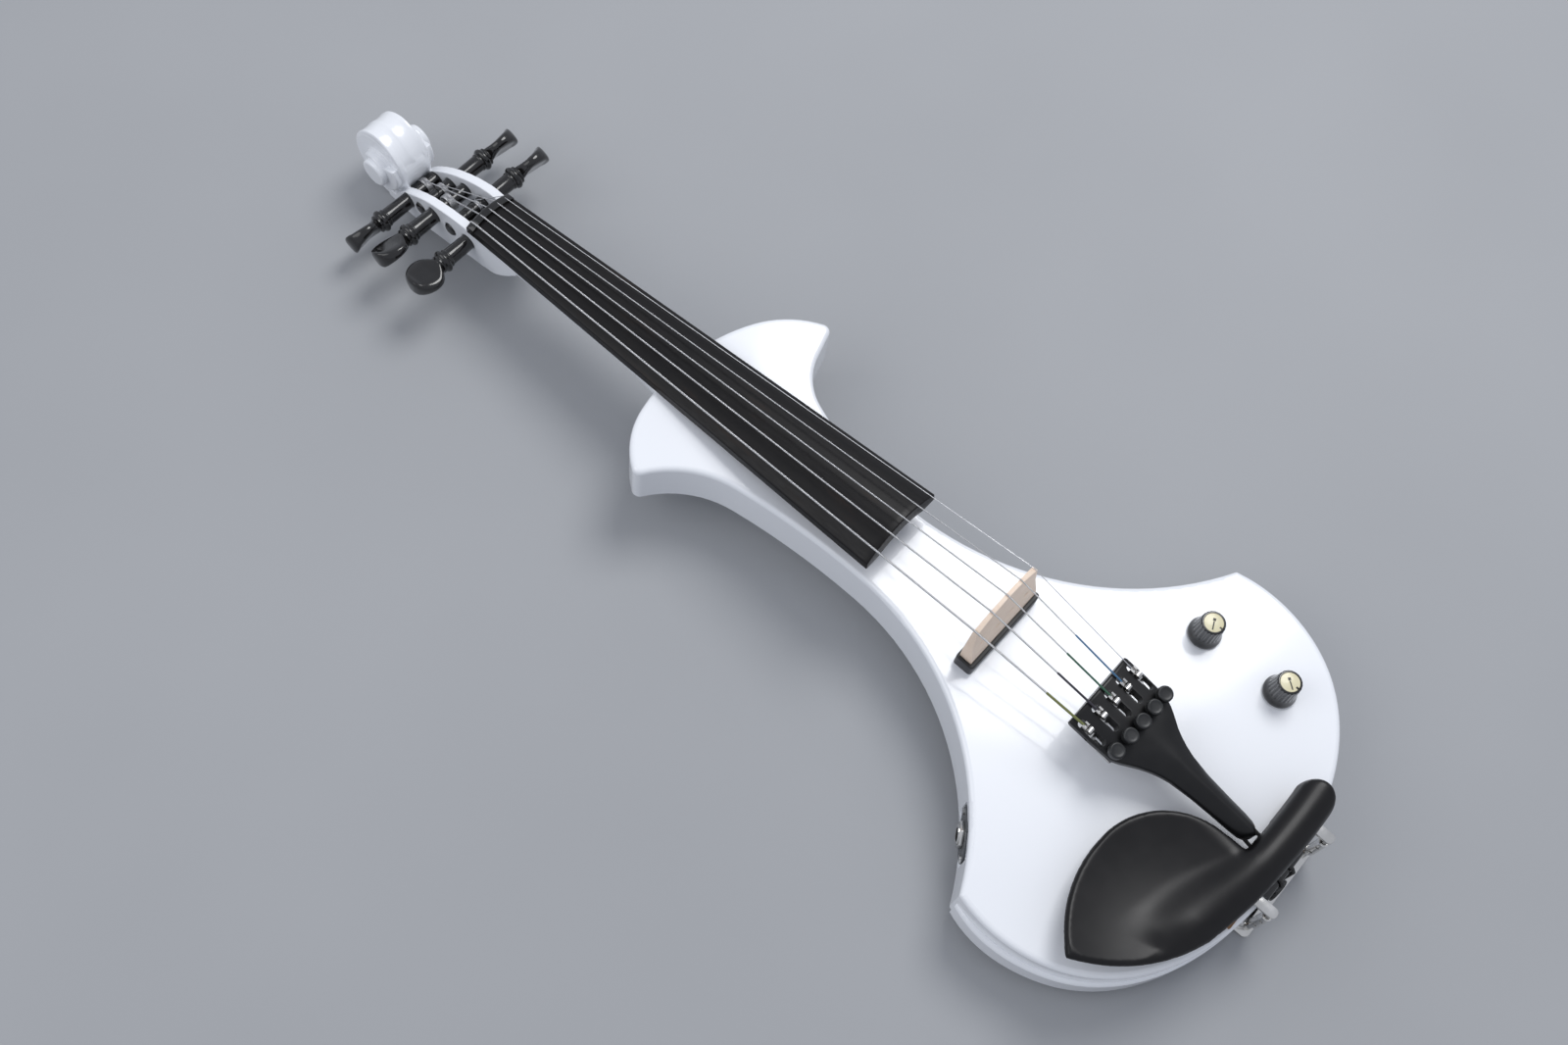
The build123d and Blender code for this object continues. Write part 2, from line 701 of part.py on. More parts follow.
def make_saddle():
    saddle = block((-14, -170.6, 26), (14, -163, 32.0))
    saddle = fillet(saddle.edges().filter_by(Axis.X).sort_by(Axis.Z)[-2:], 1.8)
    gut = wire(gut_points(-1), GUT_RADIUS + 0.02) + wire(gut_points(1), GUT_RADIUS + 0.02)
    return saddle - gut


def make_end_button():
    shank = rod((0, -144, BUTTON_Z), (0, -170.9, BUTTON_Z), 3.75)
    neck = rod((0, -170.8, BUTTON_Z), (0, -173.0, BUTTON_Z), 2.95)
    flange = rod((0, -172.9, BUTTON_Z), (0, -174.7, BUTTON_Z), 6.0)
    flange = fillet(flange.edges(), 0.6)
    return shank + neck + flange


# ---- chinrest and its clamp ---------------------------------------------------------
CHIN_PAD_BOTTOM = 29.0
CHIN_PAD_TOP = 31.0
PAD_RANGES = [(-36.0, -15.0), (15.0, 37.0)]
DISH_X = -48.0
DISH_Y = -124.0
DISH_FLOOR_Z = 41.0
DISH_RADIUS = 150.0
BAR_BEND = 313.0
BAR_HALF_WIDTH = 9.3
BAR_TOP_Z = 51.2
BAR_X = 17.0
BAR_Y = -158.6
LOBE_RADIUS = 40.0
LOBE_CENTRE = (-48.0, -138.0)
LOBE_BASS_TIP = (-100.0, -118.0)
LOBE_SHOULDER = (-80.0, -104.0)
BAR_END_X = 32.0
BAR_END_RADIUS = 8.0


def bar_edge(x, side):
    """A point on the bar's curved front (side -1) or tail (side 1) edge."""
    radius = BAR_BEND + side * BAR_HALF_WIDTH
    return (x, BAR_Y + BAR_BEND - sqrt(radius**2 - (x - BAR_X) ** 2))


def chinrest_outline():
    """Rounded lobe, a step beside the tailpiece, then the bar with its round end."""
    lobe_x, lobe_y = LOBE_CENTRE
    lobe_top = (lobe_x, lobe_y + LOBE_RADIUS)
    lobe_side = (lobe_x + LOBE_RADIUS, lobe_y)
    bar_start = bar_edge(lobe_side[0], -1)
    end_front = bar_edge(BAR_END_X, -1)
    end_tail = bar_edge(BAR_END_X, 1)
    end_tip = (BAR_END_X + BAR_END_RADIUS, (end_front[1] + end_tail[1]) / 2)
    tail_turn = bar_edge(-50, 1)
    return make_face([
        ThreePointArc(LOBE_BASS_TIP, LOBE_SHOULDER, lobe_top),
        TangentArc(lobe_top, lobe_side, tangent=(1, 0)),
        Line(lobe_side, bar_start),
        ThreePointArc(bar_start, bar_edge((bar_start[0] + BAR_END_X) / 2, -1), end_front),
        ThreePointArc(end_front, end_tip, end_tail),
        ThreePointArc(end_tail, bar_edge(0, 1), tail_turn),
        ThreePointArc(tail_turn, (-86, -138), LOBE_BASS_TIP),
    ])


def chinrest_dish(blank):
    """The shallow spherical dish on the bass side of the tailpiece."""
    turned = Rot(90, 0, 0)
    above = Pos(DISH_X, DISH_Y, DISH_FLOOR_Z + DISH_RADIUS) * turned * Sphere(DISH_RADIUS)
    below = Pos(DISH_X, DISH_Y, DISH_FLOOR_Z - 5.6 + 158) * turned * Sphere(158)
    lobe = block((-110, -180, 25), (-7.2, -90, 60))
    return (blank & below & lobe) - above


def chinrest_bar(blank):
    """The rounded bar that runs along the tail edge and over the tail gut."""
    ring = Torus(BAR_BEND, BAR_HALF_WIDTH)
    ring = Pos(BAR_X, BAR_Y + BAR_BEND, BAR_TOP_Z - BAR_HALF_WIDTH) * Rot(0, -2.5, 0) * ring
    return ring & blank & block((-62, -180, 38.4), (45, -140, 60))


def make_chinrest():
    """Dished plate with a rounded bar along the tail edge and two feet."""
    blank = extrude(Pos(0, 0, 30) * chinrest_outline(), amount=30)
    plate = chinrest_dish(blank) + chinrest_bar(blank)
    for low, high in PAD_RANGES:
        foot = block((low, -166.4, CHIN_PAD_TOP), (high, -152.5, 43.0))
        plate += foot & blank
    plate -= block((-9, -175, 25), (9, -145, 42.0))
    for x in CLAMP_X.values():
        plate -= block((x - 2.75, -180, CHIN_PAD_TOP - 1), (x + 2.75, -156.9, CHIN_PAD_TOP + 2.05))
    return plate


def make_chinrest_pads():
    pads = []
    for low, high in PAD_RANGES:
        pads.append(block((low, -165.2, CHIN_PAD_BOTTOM), (high, -153, CHIN_PAD_TOP)))
    return Compound(children=pads)


def make_clamp_top_brackets():
    """Two steel tongues under the chinrest, each with a threaded post."""
    brackets = []
    for x in CLAMP_X.values():
        tongue = block((x - 2.7, -177.3, CHIN_PAD_TOP + 0.05), (x + 2.7, -157, CHIN_PAD_TOP + 2.0))
        tongue = fillet(tongue.edges().filter_by(Axis.Z).sort_by(Axis.Y)[:2], 2.3)
        post = rod((x, CLAMP_Y, 17.5), (x, CLAMP_Y, CHIN_PAD_TOP + 1.0), 1.5)
        brackets.append(tongue + post)
    return Compound(children=brackets)


def make_clamp_barrel(x):
    barrel = rod((x, CLAMP_Y, 8.0), (x, CLAMP_Y, 26.0), BARREL_RADIUS)
    barrel = fillet(barrel.edges(), 0.4)
    barrel -= rod((x, CLAMP_Y, 0), (x, CLAMP_Y, 40), 1.5 + RUNNING_GAP)
    for height in (13.0, 21.0):
        barrel -= rod((x - 6, CLAMP_Y, height), (x + 6, CLAMP_Y, height), 0.9)
    return barrel


def make_clamp_foot():
    """The lower bracket: a plate under the back edge with two threaded posts."""
    low = CLAMP_X["bass"] - 5
    high = CLAMP_X["treble"] + 5
    plate = block((low, -178.0, -3.2), (high, -162, -1.6))
    plate = fillet(plate.edges().filter_by(Axis.Z), 3.0)
    foot = plate
    for x in CLAMP_X.values():
        foot += rod((x, CLAMP_Y, -2.4), (x, CLAMP_Y, 16.0), 1.5)
    return foot


def make_clamp_foot_pad():
    low = CLAMP_X["bass"] - 3
    high = CLAMP_X["treble"] + 3
    return block((low, -167, -1.6), (high, -162.4, 0))


# ---- controls and output ---------------------------------------------------------------
POT_TOP_Z = 22.0
KNOB_LOW_Z = 29.6
SHAFT_RADIUS = 3.0


def make_potentiometers():
    pots = []
    for x, y in KNOB_PLACES.values():
        can = rod((x, y, 13.5), (x, y, POT_TOP_Z), 8.2)
        bushing = rod((x, y, POT_TOP_Z - 0.5), (x, y, 32.6), 3.5)
        lugs = None
        for step in (-1, 0, 1):
            lug = block((x - 12.5, y + 4 * step - 1, 14.0), (x - 7, y + 4 * step + 1, 14.8))
            lugs = lug if lugs is None else lugs + lug
        pot = can + bushing + lugs
        pot -= rod((x, y, 15.0), (x, y, 40), SHAFT_RADIUS + RUNNING_GAP)
        pots.append(pot)
    return Compound(children=pots)


def make_pot_nuts():
    nuts = []
    for x, y in KNOB_PLACES.values():
        washer = rod((x, y, 29.0), (x, y, 29.5), 5.6) - rod((x, y, 28), (x, y, 31), 3.52)
        hexagon = extrude(Pos(x, y, 29.5) * RegularPolygon(5.2, 6), amount=2.0)
        nuts += [washer, hexagon - rod((x, y, 28), (x, y, 33), 3.52)]
    return Compound(children=nuts)


def make_pot_shaft(name):
    x, y = KNOB_PLACES[name]
    return rod((x, y, 15.2), (x, y, 42.0), SHAFT_RADIUS)


def make_knob(name):
    """Flared skirt, fluted grip and a recess for the disc, on a round bore."""
    x, y = KNOB_PLACES[name]
    profile = Polyline(
        (0, KNOB_LOW_Z), (8.1, KNOB_LOW_Z), (8.2, 31.0), (7.4, 33.2), (6.6, 34.6), (6.0, 43.4),
        (5.4, KNOB_TOP_Z), (0, KNOB_TOP_Z),
        close=True,
    )
    knob = revolve(Plane.XZ * make_face(profile), Axis.Z)
    for step in range(18):
        angle = 20 * step
        flute = Rot(0, 0, angle) * Pos(6.75, 0, 39.8) * Cylinder(0.55, 9.4)
        knob -= flute
    knob -= Pos(0, 0, 30.6) * Cylinder(6.0, 4.4)
    knob -= Pos(0, 0, 36) * Cylinder(SHAFT_RADIUS + 0.01, 12.2)
    knob -= Pos(0, 0, KNOB_TOP_Z) * Cylinder(4.72, 1.6)
    return Pos(x, y, 0) * knob


def make_knob_disc(name):
    """Pale inlay with a pointer notch at its rim."""
    x, y = KNOB_PLACES[name]
    disc = rod((0, 0, KNOB_TOP_Z - 0.8), (0, 0, KNOB_TOP_Z - 0.1), 4.7)
    disc -= block((-0.55, -5, 43), (0.55, -3.4, 45))
    return Pos(x, y, 0) * disc


def make_cavity_cover():
    cover = extrude(cavity_outline(4.85), amount=COVER_THICKNESS)
    for x, y in COVER_SCREW_PLACES:
        cover -= rod((x, y, -1), (x, y, 4), 1.45)
        cover -= Pos(x, y, 0.5) * Cone(2.7, 1.45, 1.0)
        cover -= rod((x, y, -1), (x, y, 0.001), 2.7)
    return cover


def make_cover_screws():
    screws = []
    for x, y in COVER_SCREW_PLACES:
        head = Pos(x, y, 0.5) * Cone(2.6, 1.4, 1.0)
        shank = rod((x, y, 0.9), (x, y, 12.0), 1.15)
        cross = block((x - 1.5, y - 0.25, -0.1), (x + 1.5, y + 0.25, 0.5))
        cross += block((x - 0.25, y - 1.5, -0.1), (x + 0.25, y + 1.5, 0.5))
        screws.append(head + shank - cross)
    return Compound(children=screws)


JACK_BORE = 3.25
JACK_SLEEVE = 14.0


def make_output_jack():
    """Threaded sleeve with a plug bore, and the contact housing behind the plate."""
    sleeve = Pos(0, 0, 4.0 - JACK_SLEEVE / 2) * Cylinder(4.7, JACK_SLEEVE)
    collar = Pos(0, 0, -3.2) * Cylinder(7.6, 2.0)
    housing = Pos(0, 0, -17.1) * Box(12.5, 11.0, 26.0)
    jack = sleeve + collar + housing
    jack -= Pos(0, 0, -14.0) * Cylinder(JACK_BORE, 38.0)
    return JACK.location * jack


def make_jack_plate():
    plate = extrude(RectangleRounded(18.0, 26.0, 8.6), amount=1.4)
    plate -= Pos(0, 0, 1) * Cylinder(4.75, 8)
    for side in (-1, 1):
        plate -= Pos(0, side * 11, 0) * Cylinder(1.05, 6)
    return JACK.location * plate


def make_jack_nut():
    nut = extrude(Pos(0, 0, 1.4) * RegularPolygon(6.6, 6), amount=2.0)
    nut -= Cylinder(4.72, 20)
    return JACK.location * nut


def make_jack_screws():
    screws = []
    for side in (-1, 1):
        head = Pos(0, side * 11, 1.75) * Cylinder(1.8, 0.7)
        shank = Pos(0, side * 11, -4.3) * Cylinder(0.85, 11.6)
        screws.append(JACK.location * (head + shank))
    return Compound(children=screws)


def make_tone_capacitor():
    disc = Pos(58.5, -97, 17.0) * Rot(0, 90, 0) * Cylinder(4.2, 2.6)
    legs = rod((58.5, -99, 17), (58.5, -107, 16), 0.4) + rod((58.5, -95, 17), (58.5, -87, 16), 0.4)
    return disc + legs


def make_wiring():
    """Pickup lead, output lead and the link between the two controls."""
    lead_mouth = (LEAD_START[0], LEAD_START[1], 31.8)
    pickup = wire([lead_mouth, LEAD_START, LEAD_END, (52.5, -73, 16.5)], 0.8)
    output = wire([OUTPUT_START, OUTPUT_END, (52.5, -82.5, 17.0)], 1.1)
    link = wire([(54.5, -84.0, 17.5), (54.5, -110, 17.5)], 0.8)
    return Compound(children=[pickup, output, link])


# ---- build everything -------------------------------------------------------------------
def main():
    os.makedirs("parts", exist_ok=True)
    neck = make_neck()
    board = make_fingerboard()
    body = body_blank() - body_pockets() - neck - board
    save("body", body)
    save("neck", neck)
    save("fingerboard", board)
    save("nut", make_nut())
    save("pickup_bar", make_pickup_bar())
    save("piezo_strip", make_piezo_strip())
    save("bridge", make_bridge())
    save("tailpiece", make_tailpiece())
    save("tuner_pivot_pin", make_tuner_pin())
    save("tail_gut", make_tail_gut())
    save("saddle", make_saddle())
    save("end_button", make_end_button())
    save("chinrest", make_chinrest())
    save("chinrest_pads", make_chinrest_pads())
    save("clamp_top_brackets", make_clamp_top_brackets())
    save("clamp_foot", make_clamp_foot())
    save("clamp_foot_pad", make_clamp_foot_pad())
    save("potentiometers", make_potentiometers())
    save("pot_nuts", make_pot_nuts())
    save("cavity_cover", make_cavity_cover())
    save("cavity_cover_screws", make_cover_screws())
    save("output_jack", make_output_jack())
    save("jack_plate", make_jack_plate())
    save("jack_nut", make_jack_nut())
    save("jack_plate_screws", make_jack_screws())
    save("tone_capacitor", make_tone_capacitor())
    save("wiring", make_wiring())
    for side, x in CLAMP_X.items():
        save("clamp_barrel_" + side, make_clamp_barrel(x))
    for name in KNOB_PLACES:
        save(name + "_pot_shaft", make_pot_shaft(name))
        save(name + "_knob", make_knob(name))
        save(name + "_knob_disc", make_knob_disc(name))
    for name in STRINGS:
        save("string_" + name, make_string(name))
        save("peg_" + name, make_peg(name))
        save("tuner_lever_" + name, make_tuner_lever(name))
        save("tuner_screw_" + name, make_tuner_screw(name))


main()
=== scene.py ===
import bmesh
import bpy
import json
import numpy as np
from math import atan2, cos, hypot, pi, radians, sin, sqrt
from mathutils import Matrix, Vector


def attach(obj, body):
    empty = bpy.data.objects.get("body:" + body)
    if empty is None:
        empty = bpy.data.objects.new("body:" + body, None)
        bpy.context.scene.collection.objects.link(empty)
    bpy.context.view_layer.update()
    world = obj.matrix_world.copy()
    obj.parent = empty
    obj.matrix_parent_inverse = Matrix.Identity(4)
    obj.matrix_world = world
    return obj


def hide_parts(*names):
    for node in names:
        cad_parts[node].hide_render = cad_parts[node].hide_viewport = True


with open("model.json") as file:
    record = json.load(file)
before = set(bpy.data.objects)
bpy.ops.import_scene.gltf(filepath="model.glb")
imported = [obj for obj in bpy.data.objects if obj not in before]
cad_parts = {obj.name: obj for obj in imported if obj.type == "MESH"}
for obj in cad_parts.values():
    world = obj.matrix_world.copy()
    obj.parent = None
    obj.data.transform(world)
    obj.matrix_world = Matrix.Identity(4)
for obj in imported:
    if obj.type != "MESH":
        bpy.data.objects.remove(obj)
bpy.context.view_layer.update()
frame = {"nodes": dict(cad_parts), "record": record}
NODES = frame["nodes"]
MM = 0.001

# ------------------------------------------------------------------ places
NECK_SLOPE = radians(6.46)
NECK_Y = 328.0
NECK_Z = 13.8
TAIL_SLOPE = radians(7.4)
TAIL_Y = -55.2
TAIL_Z = 51.0
SCROLL_FROM_Y = 300.0

# The shapes are drawn in mm about a point of the flat back, below the bridge. This is that
# point in the row frame, whose origin is below the middle of the whole instrument.
DRAWING_ORIGIN = Vector((0.0, -123.95, 30.38))


def in_row(point):
    """A drawn point, in mm, to the row frame, in metres."""
    return (Vector(point) + DRAWING_ORIGIN) * MM


def neck_point(x, s, n):
    """Neck plane (across, towards the scroll, up) to the drawing axes, in mm."""
    y = NECK_Y + s * cos(NECK_SLOPE) + n * sin(NECK_SLOPE)
    z = NECK_Z - s * sin(NECK_SLOPE) + n * cos(NECK_SLOPE)
    return (x, y, z)


def tail_point(x, y, n):
    """Tailpiece plane (across, towards the scroll, up) to the drawing axes, in mm."""
    drawn_y = TAIL_Y + y * cos(TAIL_SLOPE) - n * sin(TAIL_SLOPE)
    drawn_z = TAIL_Z + y * sin(TAIL_SLOPE) + n * cos(TAIL_SLOPE)
    return (x, drawn_y, drawn_z)


# --------------------------------------------------------------- materials
def new_material(name):
    material = bpy.data.materials.new(name)
    material.use_nodes = True
    tree = material.node_tree
    return material, tree, tree.nodes["Principled BSDF"]


def link(tree, a, b):
    tree.links.new(a, b)


def coords(tree, scale):
    texture = tree.nodes.new("ShaderNodeTexCoord")
    mapping = tree.nodes.new("ShaderNodeMapping")
    mapping.inputs["Scale"].default_value = scale
    link(tree, texture.outputs["Object"], mapping.inputs["Vector"])
    return mapping.outputs["Vector"]


def noise_node(tree, vector, scale, detail=3.0, rough=0.5):
    node = tree.nodes.new("ShaderNodeTexNoise")
    node.inputs["Scale"].default_value = scale
    node.inputs["Detail"].default_value = detail
    node.inputs["Roughness"].default_value = rough
    link(tree, vector, node.inputs["Vector"])
    return node.outputs["Fac"]


def ramp(tree, value, stops):
    node = tree.nodes.new("ShaderNodeValToRGB")
    elements = node.color_ramp.elements
    while len(elements) < len(stops):
        elements.new(0.5)
    for element, (place, colour) in zip(elements, stops):
        element.position = place
        element.color = (*colour, 1.0)
    link(tree, value, node.inputs["Fac"])
    return node.outputs["Color"]


def number_range(tree, value, low, high, start=0.0, stop=1.0):
    node = tree.nodes.new("ShaderNodeMapRange")
    node.inputs["From Min"].default_value = start
    node.inputs["From Max"].default_value = stop
    node.inputs["To Min"].default_value = low
    node.inputs["To Max"].default_value = high
    link(tree, value, node.inputs["Value"])
    return node.outputs["Result"]


def bump(tree, bsdf, height, strength, distance):
    node = tree.nodes.new("ShaderNodeBump")
    node.inputs["Strength"].default_value = strength
    node.inputs["Distance"].default_value = distance
    link(tree, height, node.inputs["Height"])
    link(tree, node.outputs["Normal"], bsdf.inputs["Normal"])


def surface(name, dark, light, rough, rough_spread=0.06, scale=(60, 60, 60), noise_scale=2.0,
            metallic=0.0, coat=0.0, bump_height=0.0, bump_scale=900.0, specular=0.5):
    """A finish whose colour and roughness wander a little over the surface."""
    material, tree, bsdf = new_material(name)
    vector = coords(tree, scale)
    wander = noise_node(tree, vector, noise_scale)
    link(tree, ramp(tree, wander, [(0.3, dark), (0.7, light)]), bsdf.inputs["Base Color"])
    rough_value = number_range(tree, wander, rough - rough_spread, rough + rough_spread, 0.3, 0.7)
    link(tree, rough_value, bsdf.inputs["Roughness"])
    bsdf.inputs["Metallic"].default_value = metallic
    bsdf.inputs["Coat Weight"].default_value = coat
    bsdf.inputs["Coat Roughness"].default_value = 0.08
    bsdf.inputs["Specular IOR Level"].default_value = specular
    if bump_height:
        grain = noise_node(tree, coords(tree, (1, 1, 1)), bump_scale, 4.0, 0.6)
        bump(tree, bsdf, grain, 0.5, bump_height)
    return material


def wood_surface(name, stops, scale, rough, streak_scale=3.0, coat=0.0, bump_height=0.0, specular=0.5):
    """Long grain: stretched noise along the piece."""
    material, tree, bsdf = new_material(name)
    vector = coords(tree, scale)
    streaks = noise_node(tree, vector, streak_scale, 5.0, 0.62)
    link(tree, ramp(tree, streaks, stops), bsdf.inputs["Base Color"])
    pores = noise_node(tree, coords(tree, tuple(4 * v for v in scale)), streak_scale * 2, 2.0)
    link(tree, number_range(tree, pores, rough - 0.08, rough + 0.08, 0.3, 0.7), bsdf.inputs["Roughness"])
    bsdf.inputs["Specular IOR Level"].default_value = specular
    bsdf.inputs["Coat Weight"].default_value = coat
    bsdf.inputs["Coat Roughness"].default_value = 0.1
    if bump_height:
        bump(tree, bsdf, pores, 0.4, bump_height)
    return material


def wound_surface(name, colour, axis_scale):
    """Fine winding ridges along a string, with painted shade in the grooves between them."""
    material, tree, bsdf = new_material(name)
    wave = tree.nodes.new("ShaderNodeTexWave")
    wave.bands_direction = "Y"
    wave.inputs["Scale"].default_value = axis_scale
    wave.inputs["Distortion"].default_value = 0.0
    link(tree, coords(tree, (1, 1, 1)), wave.inputs["Vector"])
    # Painted shade: the grooves between the windings are coloured darker than the metal.
    groove_shade = tuple(0.55 * c for c in colour)
    link(tree, ramp(tree, wave.outputs["Fac"], [(0.2, groove_shade), (0.8, colour)]), bsdf.inputs["Base Color"])
    bsdf.inputs["Metallic"].default_value = 0.9
    bsdf.inputs["Roughness"].default_value = 0.32
    bump(tree, bsdf, wave.outputs["Fac"], 0.4, 0.0001)
    return material


M = {
    "lacquer": surface("white_lacquer", (0.875, 0.895, 0.93), (0.885, 0.905, 0.94), 0.24, 0.015,
                       scale=(8, 8, 8), coat=0.6, bump_height=0.000006, bump_scale=260.0),
    "ebony": wood_surface("ebony_board", [(0.30, (0.005, 0.0045, 0.005)), (0.60, (0.008, 0.007, 0.007)),
                                          (0.76, (0.017, 0.010, 0.007)), (0.88, (0.007, 0.006, 0.006))],
                          (60, 4, 60), 0.40, 2.4, 0.0, 0.00002, 0.25),
    "polished": wood_surface("polished_ebony",
                             [(0.35, (0.003, 0.003, 0.003)), (0.7, (0.007, 0.006, 0.0055))],
                             (40, 120, 120), 0.17, 3.0, 0.5),
    "maple": wood_surface("maple", [(0.3, (0.84, 0.64, 0.49)), (0.5, (0.90, 0.74, 0.60)),
                                    (0.7, (0.86, 0.68, 0.53))],
                          (40, 160, 500), 0.5, 3.0, 0.0, 0.00003),
    "satin": surface("satin_black", (0.0045, 0.0045, 0.005), (0.0065, 0.0065, 0.007), 0.34, 0.03,
                     specular=0.38, bump_height=0.00001, bump_scale=1400.0),
    "chin": surface("chinrest_black", (0.0045, 0.0042, 0.0046), (0.0065, 0.006, 0.0065), 0.36, 0.02,
                    specular=0.32, bump_height=0.00001, bump_scale=1400.0),
    "bar": surface("pickup_black", (0.012, 0.012, 0.013), (0.018, 0.018, 0.019), 0.45, 0.05,
                   bump_height=0.00003, bump_scale=2500.0),
    "piezo": surface("piezo_foil", (0.48, 0.36, 0.18), (0.62, 0.48, 0.26), 0.3, 0.08, metallic=0.9),
    "cork": surface("cork", (0.24, 0.12, 0.055), (0.42, 0.25, 0.13), 0.85, 0.08, (300, 300, 300), 3.0,
                    bump_height=0.0002, bump_scale=1200.0),
    "nickel": surface("nickel", (0.66, 0.65, 0.62), (0.78, 0.77, 0.75), 0.16, 0.06, metallic=1.0),
    "tuner": surface("tuner_black", (0.020, 0.021, 0.022), (0.034, 0.035, 0.036), 0.36, 0.05,
                     metallic=0.4, bump_height=0.00002, bump_scale=2600.0),
    "lever": surface("lever_nickel", (0.55, 0.54, 0.52), (0.72, 0.71, 0.69), 0.25, 0.08, metallic=1.0),
    "knob": surface("knob_black", (0.005, 0.005, 0.0055), (0.010, 0.010, 0.011), 0.18, 0.05, coat=0.5),
    "cream": surface("knob_cream", (0.72, 0.66, 0.42), (0.80, 0.75, 0.53), 0.35, 0.04, coat=0.3),
    "ink": surface("knob_mark", (0.02, 0.018, 0.014), (0.04, 0.036, 0.03), 0.5, 0.04),
    "pot": surface("pot_zinc", (0.42, 0.42, 0.41), (0.58, 0.58, 0.56), 0.4, 0.1, metallic=1.0),
    "cover": surface("cover_black", (0.018, 0.018, 0.019), (0.028, 0.028, 0.029), 0.6, 0.06,
                     bump_height=0.0001, bump_scale=1500.0),
    "gut": surface("tail_cord", (0.012, 0.012, 0.012), (0.028, 0.028, 0.028), 0.55, 0.08,
                   (500, 500, 500), 2.0, bump_height=0.0002, bump_scale=2500.0),
    "cap": surface("capacitor", (0.42, 0.17, 0.03), (0.58, 0.26, 0.05), 0.3, 0.05, coat=0.5),
    "lead": surface("lead_black", (0.014, 0.014, 0.014), (0.026, 0.026, 0.026), 0.5, 0.05),
    "plate": surface("jack_plate", (0.10, 0.105, 0.11), (0.16, 0.165, 0.17), 0.28, 0.06, metallic=0.9),
    "wound": wound_surface("wound_string", (0.70, 0.70, 0.71), 1800.0),
    "plain": surface("plain_string", (0.68, 0.68, 0.69), (0.8, 0.8, 0.81), 0.16, 0.04, metallic=1.0),
}
SLOT_FINISH = {
    "white_lacquer": "lacquer", "ebony": "ebony", "polished_ebony": "polished", "maple": "maple",
    "pickup_black": "bar", "piezo": "piezo", "wound_string": "wound", "plain_string": "plain",
    "tailpiece_black": "satin", "chinrest_black": "chin", "cork": "cork", "nickel": "nickel",
    "tuner_black": "tuner", "lever_metal": "lever", "knob_black": "knob", "knob_cream": "cream",
    "pot_metal": "pot", "cover_black": "cover", "gut_black": "gut", "capacitor_brown": "cap",
    "wire_black": "lead", "jack_plate_dark": "plate",
}
NODE_SLOT = {entry["node"]: entry["material_slot"] for entry in frame["record"]["subparts"]}
BODY_OF = {}
for body_name, members in frame["record"]["behaviour"]["bodies"].items():
    for member in members:
        BODY_OF[member] = body_name

for node_name, node in NODES.items():
    node.data.materials.clear()
    node.data.materials.append(M[SLOT_FINISH[NODE_SLOT[node_name]]])


# ------------------------------------------------------------- mesh helpers
def mesh_object(name, points, faces, material, angle=32.0):
    """A smooth-shaded mesh from points in millimetres."""
    mesh = bpy.data.meshes.new(name)
    mesh.from_pydata([in_row(p) for p in points], [], faces)
    mesh.validate()
    mesh.update()
    shade(mesh, angle)
    obj = bpy.data.objects.new(name, mesh)
    bpy.context.scene.collection.objects.link(obj)
    mesh.materials.append(material)
    return obj


def shade(mesh, angle):
    mesh.shade_smooth()
    mesh.set_sharp_from_angle(angle=radians(angle))


def bake(obj, angle=None):
    """Applies every modifier."""
    graph = bpy.context.evaluated_depsgraph_get()
    graph.update()
    mesh = bpy.data.meshes.new_from_object(obj.evaluated_get(graph))
    obj.modifiers.clear()
    obj.data = mesh
    if angle is not None:
        shade(mesh, angle)
    return obj


def copy_of(node, name):
    obj = bpy.data.objects.new(name, NODES[node].data.copy())
    bpy.context.scene.collection.objects.link(obj)
    return obj


def stand_for(obj, node):
    """The piece takes the node's place and body."""
    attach(obj, BODY_OF[node])
    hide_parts(node)
    return obj


def softened(node, width, segments=2, angle=30.0):
    """The CAD node again, with its sharp edges rounded over."""
    obj = copy_of(node, node + "_soft")
    weld = obj.modifiers.new("weld", "WELD")
    weld.merge_threshold = 0.000002
    flat = obj.modifiers.new("flat", "DECIMATE")
    flat.decimate_type = "DISSOLVE"
    flat.angle_limit = radians(1.0)
    edge = obj.modifiers.new("edge", "BEVEL")
    edge.width = width * MM
    edge.segments = segments
    edge.limit_method = "ANGLE"
    edge.angle_limit = radians(angle)
    edge.use_clamp_overlap = True
    edge.harden_normals = False
    bake(obj, 40.0)
    return stand_for(obj, node)


def evened(obj, voxel, passes, material):
    """Melts the piece's parts into one even skin and relaxes it."""
    even = obj.modifiers.new("even", "REMESH")
    even.mode = "VOXEL"
    even.voxel_size = voxel * MM
    soft = obj.modifiers.new("soft", "SMOOTH")
    soft.factor = 0.5
    soft.iterations = passes
    bake(obj)
    obj.data.shade_smooth()
    obj.data.materials.clear()
    obj.data.materials.append(material)


def merge_into(obj, piece):
    """Adds the piece's mesh to obj's and removes the piece."""
    work = bmesh.new()
    work.from_mesh(obj.data)
    work.from_mesh(piece.data)
    bmesh.ops.recalc_face_normals(work, faces=work.faces)
    work.to_mesh(obj.data)
    work.free()
    bpy.data.objects.remove(piece)


def boolean(obj, cutter, operation="DIFFERENCE"):
    step = obj.modifiers.new("cut", "BOOLEAN")
    step.operation = operation
    step.solver = "EXACT"
    step.object = cutter
    bake(obj)
    bpy.data.objects.remove(cutter)
    return obj


